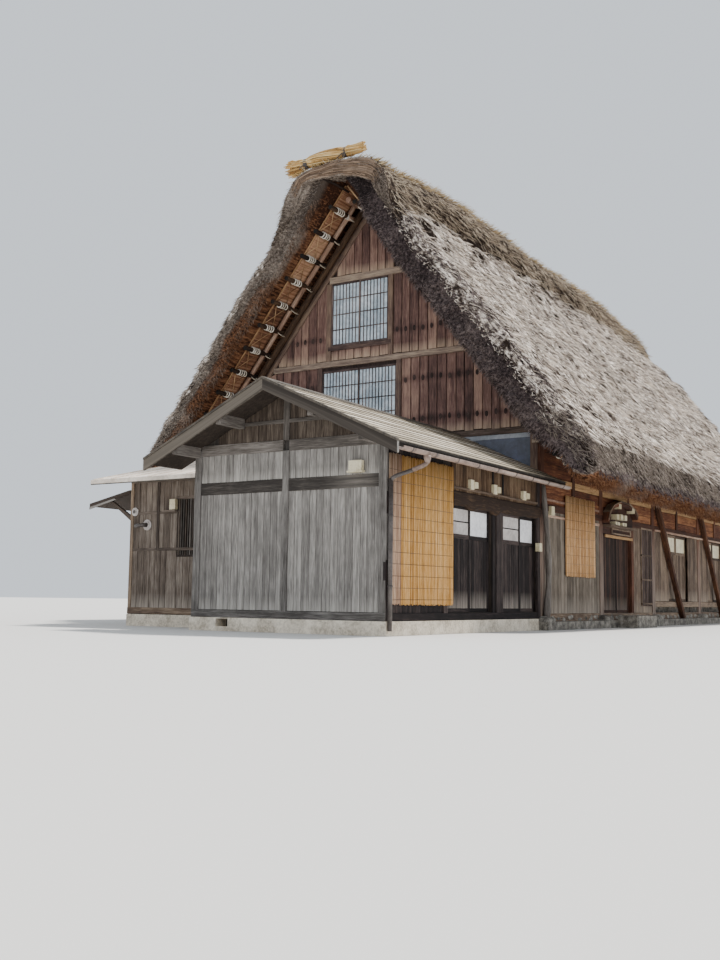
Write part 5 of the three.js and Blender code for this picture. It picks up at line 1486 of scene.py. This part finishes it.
def cad_finishes():
    """Real finishes for the CAD nodes that stay in view, by the start of the node's name; the walls behind the boards
    take dark backings as painted shade.
    """
    looks = {
        "main_foundation": stone, "entrance_step": stone, "annex_foundation": concrete, "main_floor": floor_board,
        "annex_floor": floor_board, "front_wall_panel": slate_sheet, "lean_to_roof": lean_sheet,
        # The walls behind the boards take the dark backings, painted shade in the gaps
        "lean_to_walls": lean_shade_backing, "side_canopy": lean_timber, "right_wall": side_shade_backing, "left_wall": side_shade_backing,
        "annex_front_wall": grey_shade_backing, "annex_left_wall": grey_shade_backing, "annex_right_wall": lean_shade_backing,
        "front_": gable_shade_backing, "back_": gable_shade_backing,
    }
    for name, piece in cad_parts.items():
        for prefix, look in looks.items():
            if name.startswith(prefix):
                for place in piece.material_slots:
                    place.material = look
                break


def foundations():
    """Rough base stones under the posts and along the kerb."""
    piece = Piece()
    for sign in (-1, 1):
        for w0, w1 in POSTS:
            river_stone(piece, (sign * (HALF + 0.02), (w0 + w1) / 2, 0.14), (0.36, 0.42, 0.24))
        y = 0.5
        while y < HOUSE - 0.3:
            size = chance.uniform(0.22, 0.42)
            river_stone(piece, (sign * (HALF - 0.12), y, 0.20), (0.26, size, chance.uniform(0.12, 0.18)))
            y += size * 1.08
    piece.make("base_stones", "base_stone", [stone])


def studio():
    """Camera at the photograph's place, a pale floor and soft light."""
    place, lens_mm, floor_reach = (11.877, -23.272, 0.505), 41.16, 200
    yaw, pitch, roll = (math.radians(a) for a in (32.53, 6.2304, 0.7572))
    ahead = Vector((-math.sin(yaw) * math.cos(pitch), math.cos(yaw) * math.cos(pitch), math.sin(pitch)))
    level = Vector((math.cos(yaw), math.sin(yaw), 0))
    upright = level.cross(ahead)
    across = level * math.cos(roll) + upright * math.sin(roll)
    above = upright * math.cos(roll) - level * math.sin(roll)
    turn = Matrix((across, above, -ahead)).transposed().to_4x4()
    camera = bpy.data.objects.new("camera", bpy.data.cameras.new("camera"))
    camera.data.lens = lens_mm
    camera.data.sensor_width = 36
    camera.matrix_world = Matrix.Translation(place) @ turn
    bpy.context.scene.collection.objects.link(camera)
    bpy.context.scene.camera = camera

    ground = bpy.data.meshes.new("studio_floor")
    ground.from_pydata([(x * floor_reach, y * floor_reach, -0.002) for x, y in ((-1, -1), (1, -1), (1, 1), (-1, 1))],
                       [], [(0, 1, 2, 3)])
    pale, _, shader = finish_of("Studio paper", 0.9)
    shader.inputs["Base Color"].default_value = linear("#d8d6d2")
    ground.materials.append(pale)
    sheet = bpy.data.objects.new("studio_floor", ground)
    bpy.context.scene.collection.objects.link(sheet)

    sun = bpy.data.lights.new("key", "SUN")
    sun.energy, sun.angle = 5.8, math.radians(6)
    sun.color = (1.0, 0.975, 0.94)
    key = bpy.data.objects.new("key", sun)
    key.matrix_world = Vector((0.20, 0.40, 0.89)).to_track_quat("Z", "Y").to_matrix().to_4x4()
    bpy.context.scene.collection.objects.link(key)
    world = bpy.data.worlds.new("studio")
    world.use_nodes = True
    world.node_tree.nodes["Background"].inputs["Color"].default_value = linear("#dfe6ee")
    world.node_tree.nodes["Background"].inputs["Strength"].default_value = 1.22
    bpy.context.scene.world = world


studio()
cad_finishes()
thatch_slopes()
ridge_cap()
straw_roll()
roof_poles()
under_mats()
lashings()
slope_stalks()
ridge_stalks()
gable_end("front", front)
gable_end("back", back)
right_side()
left_side()
doors()
annex()
annex_roof()
gutter()
lean_to()
reed_screens()
foundations()
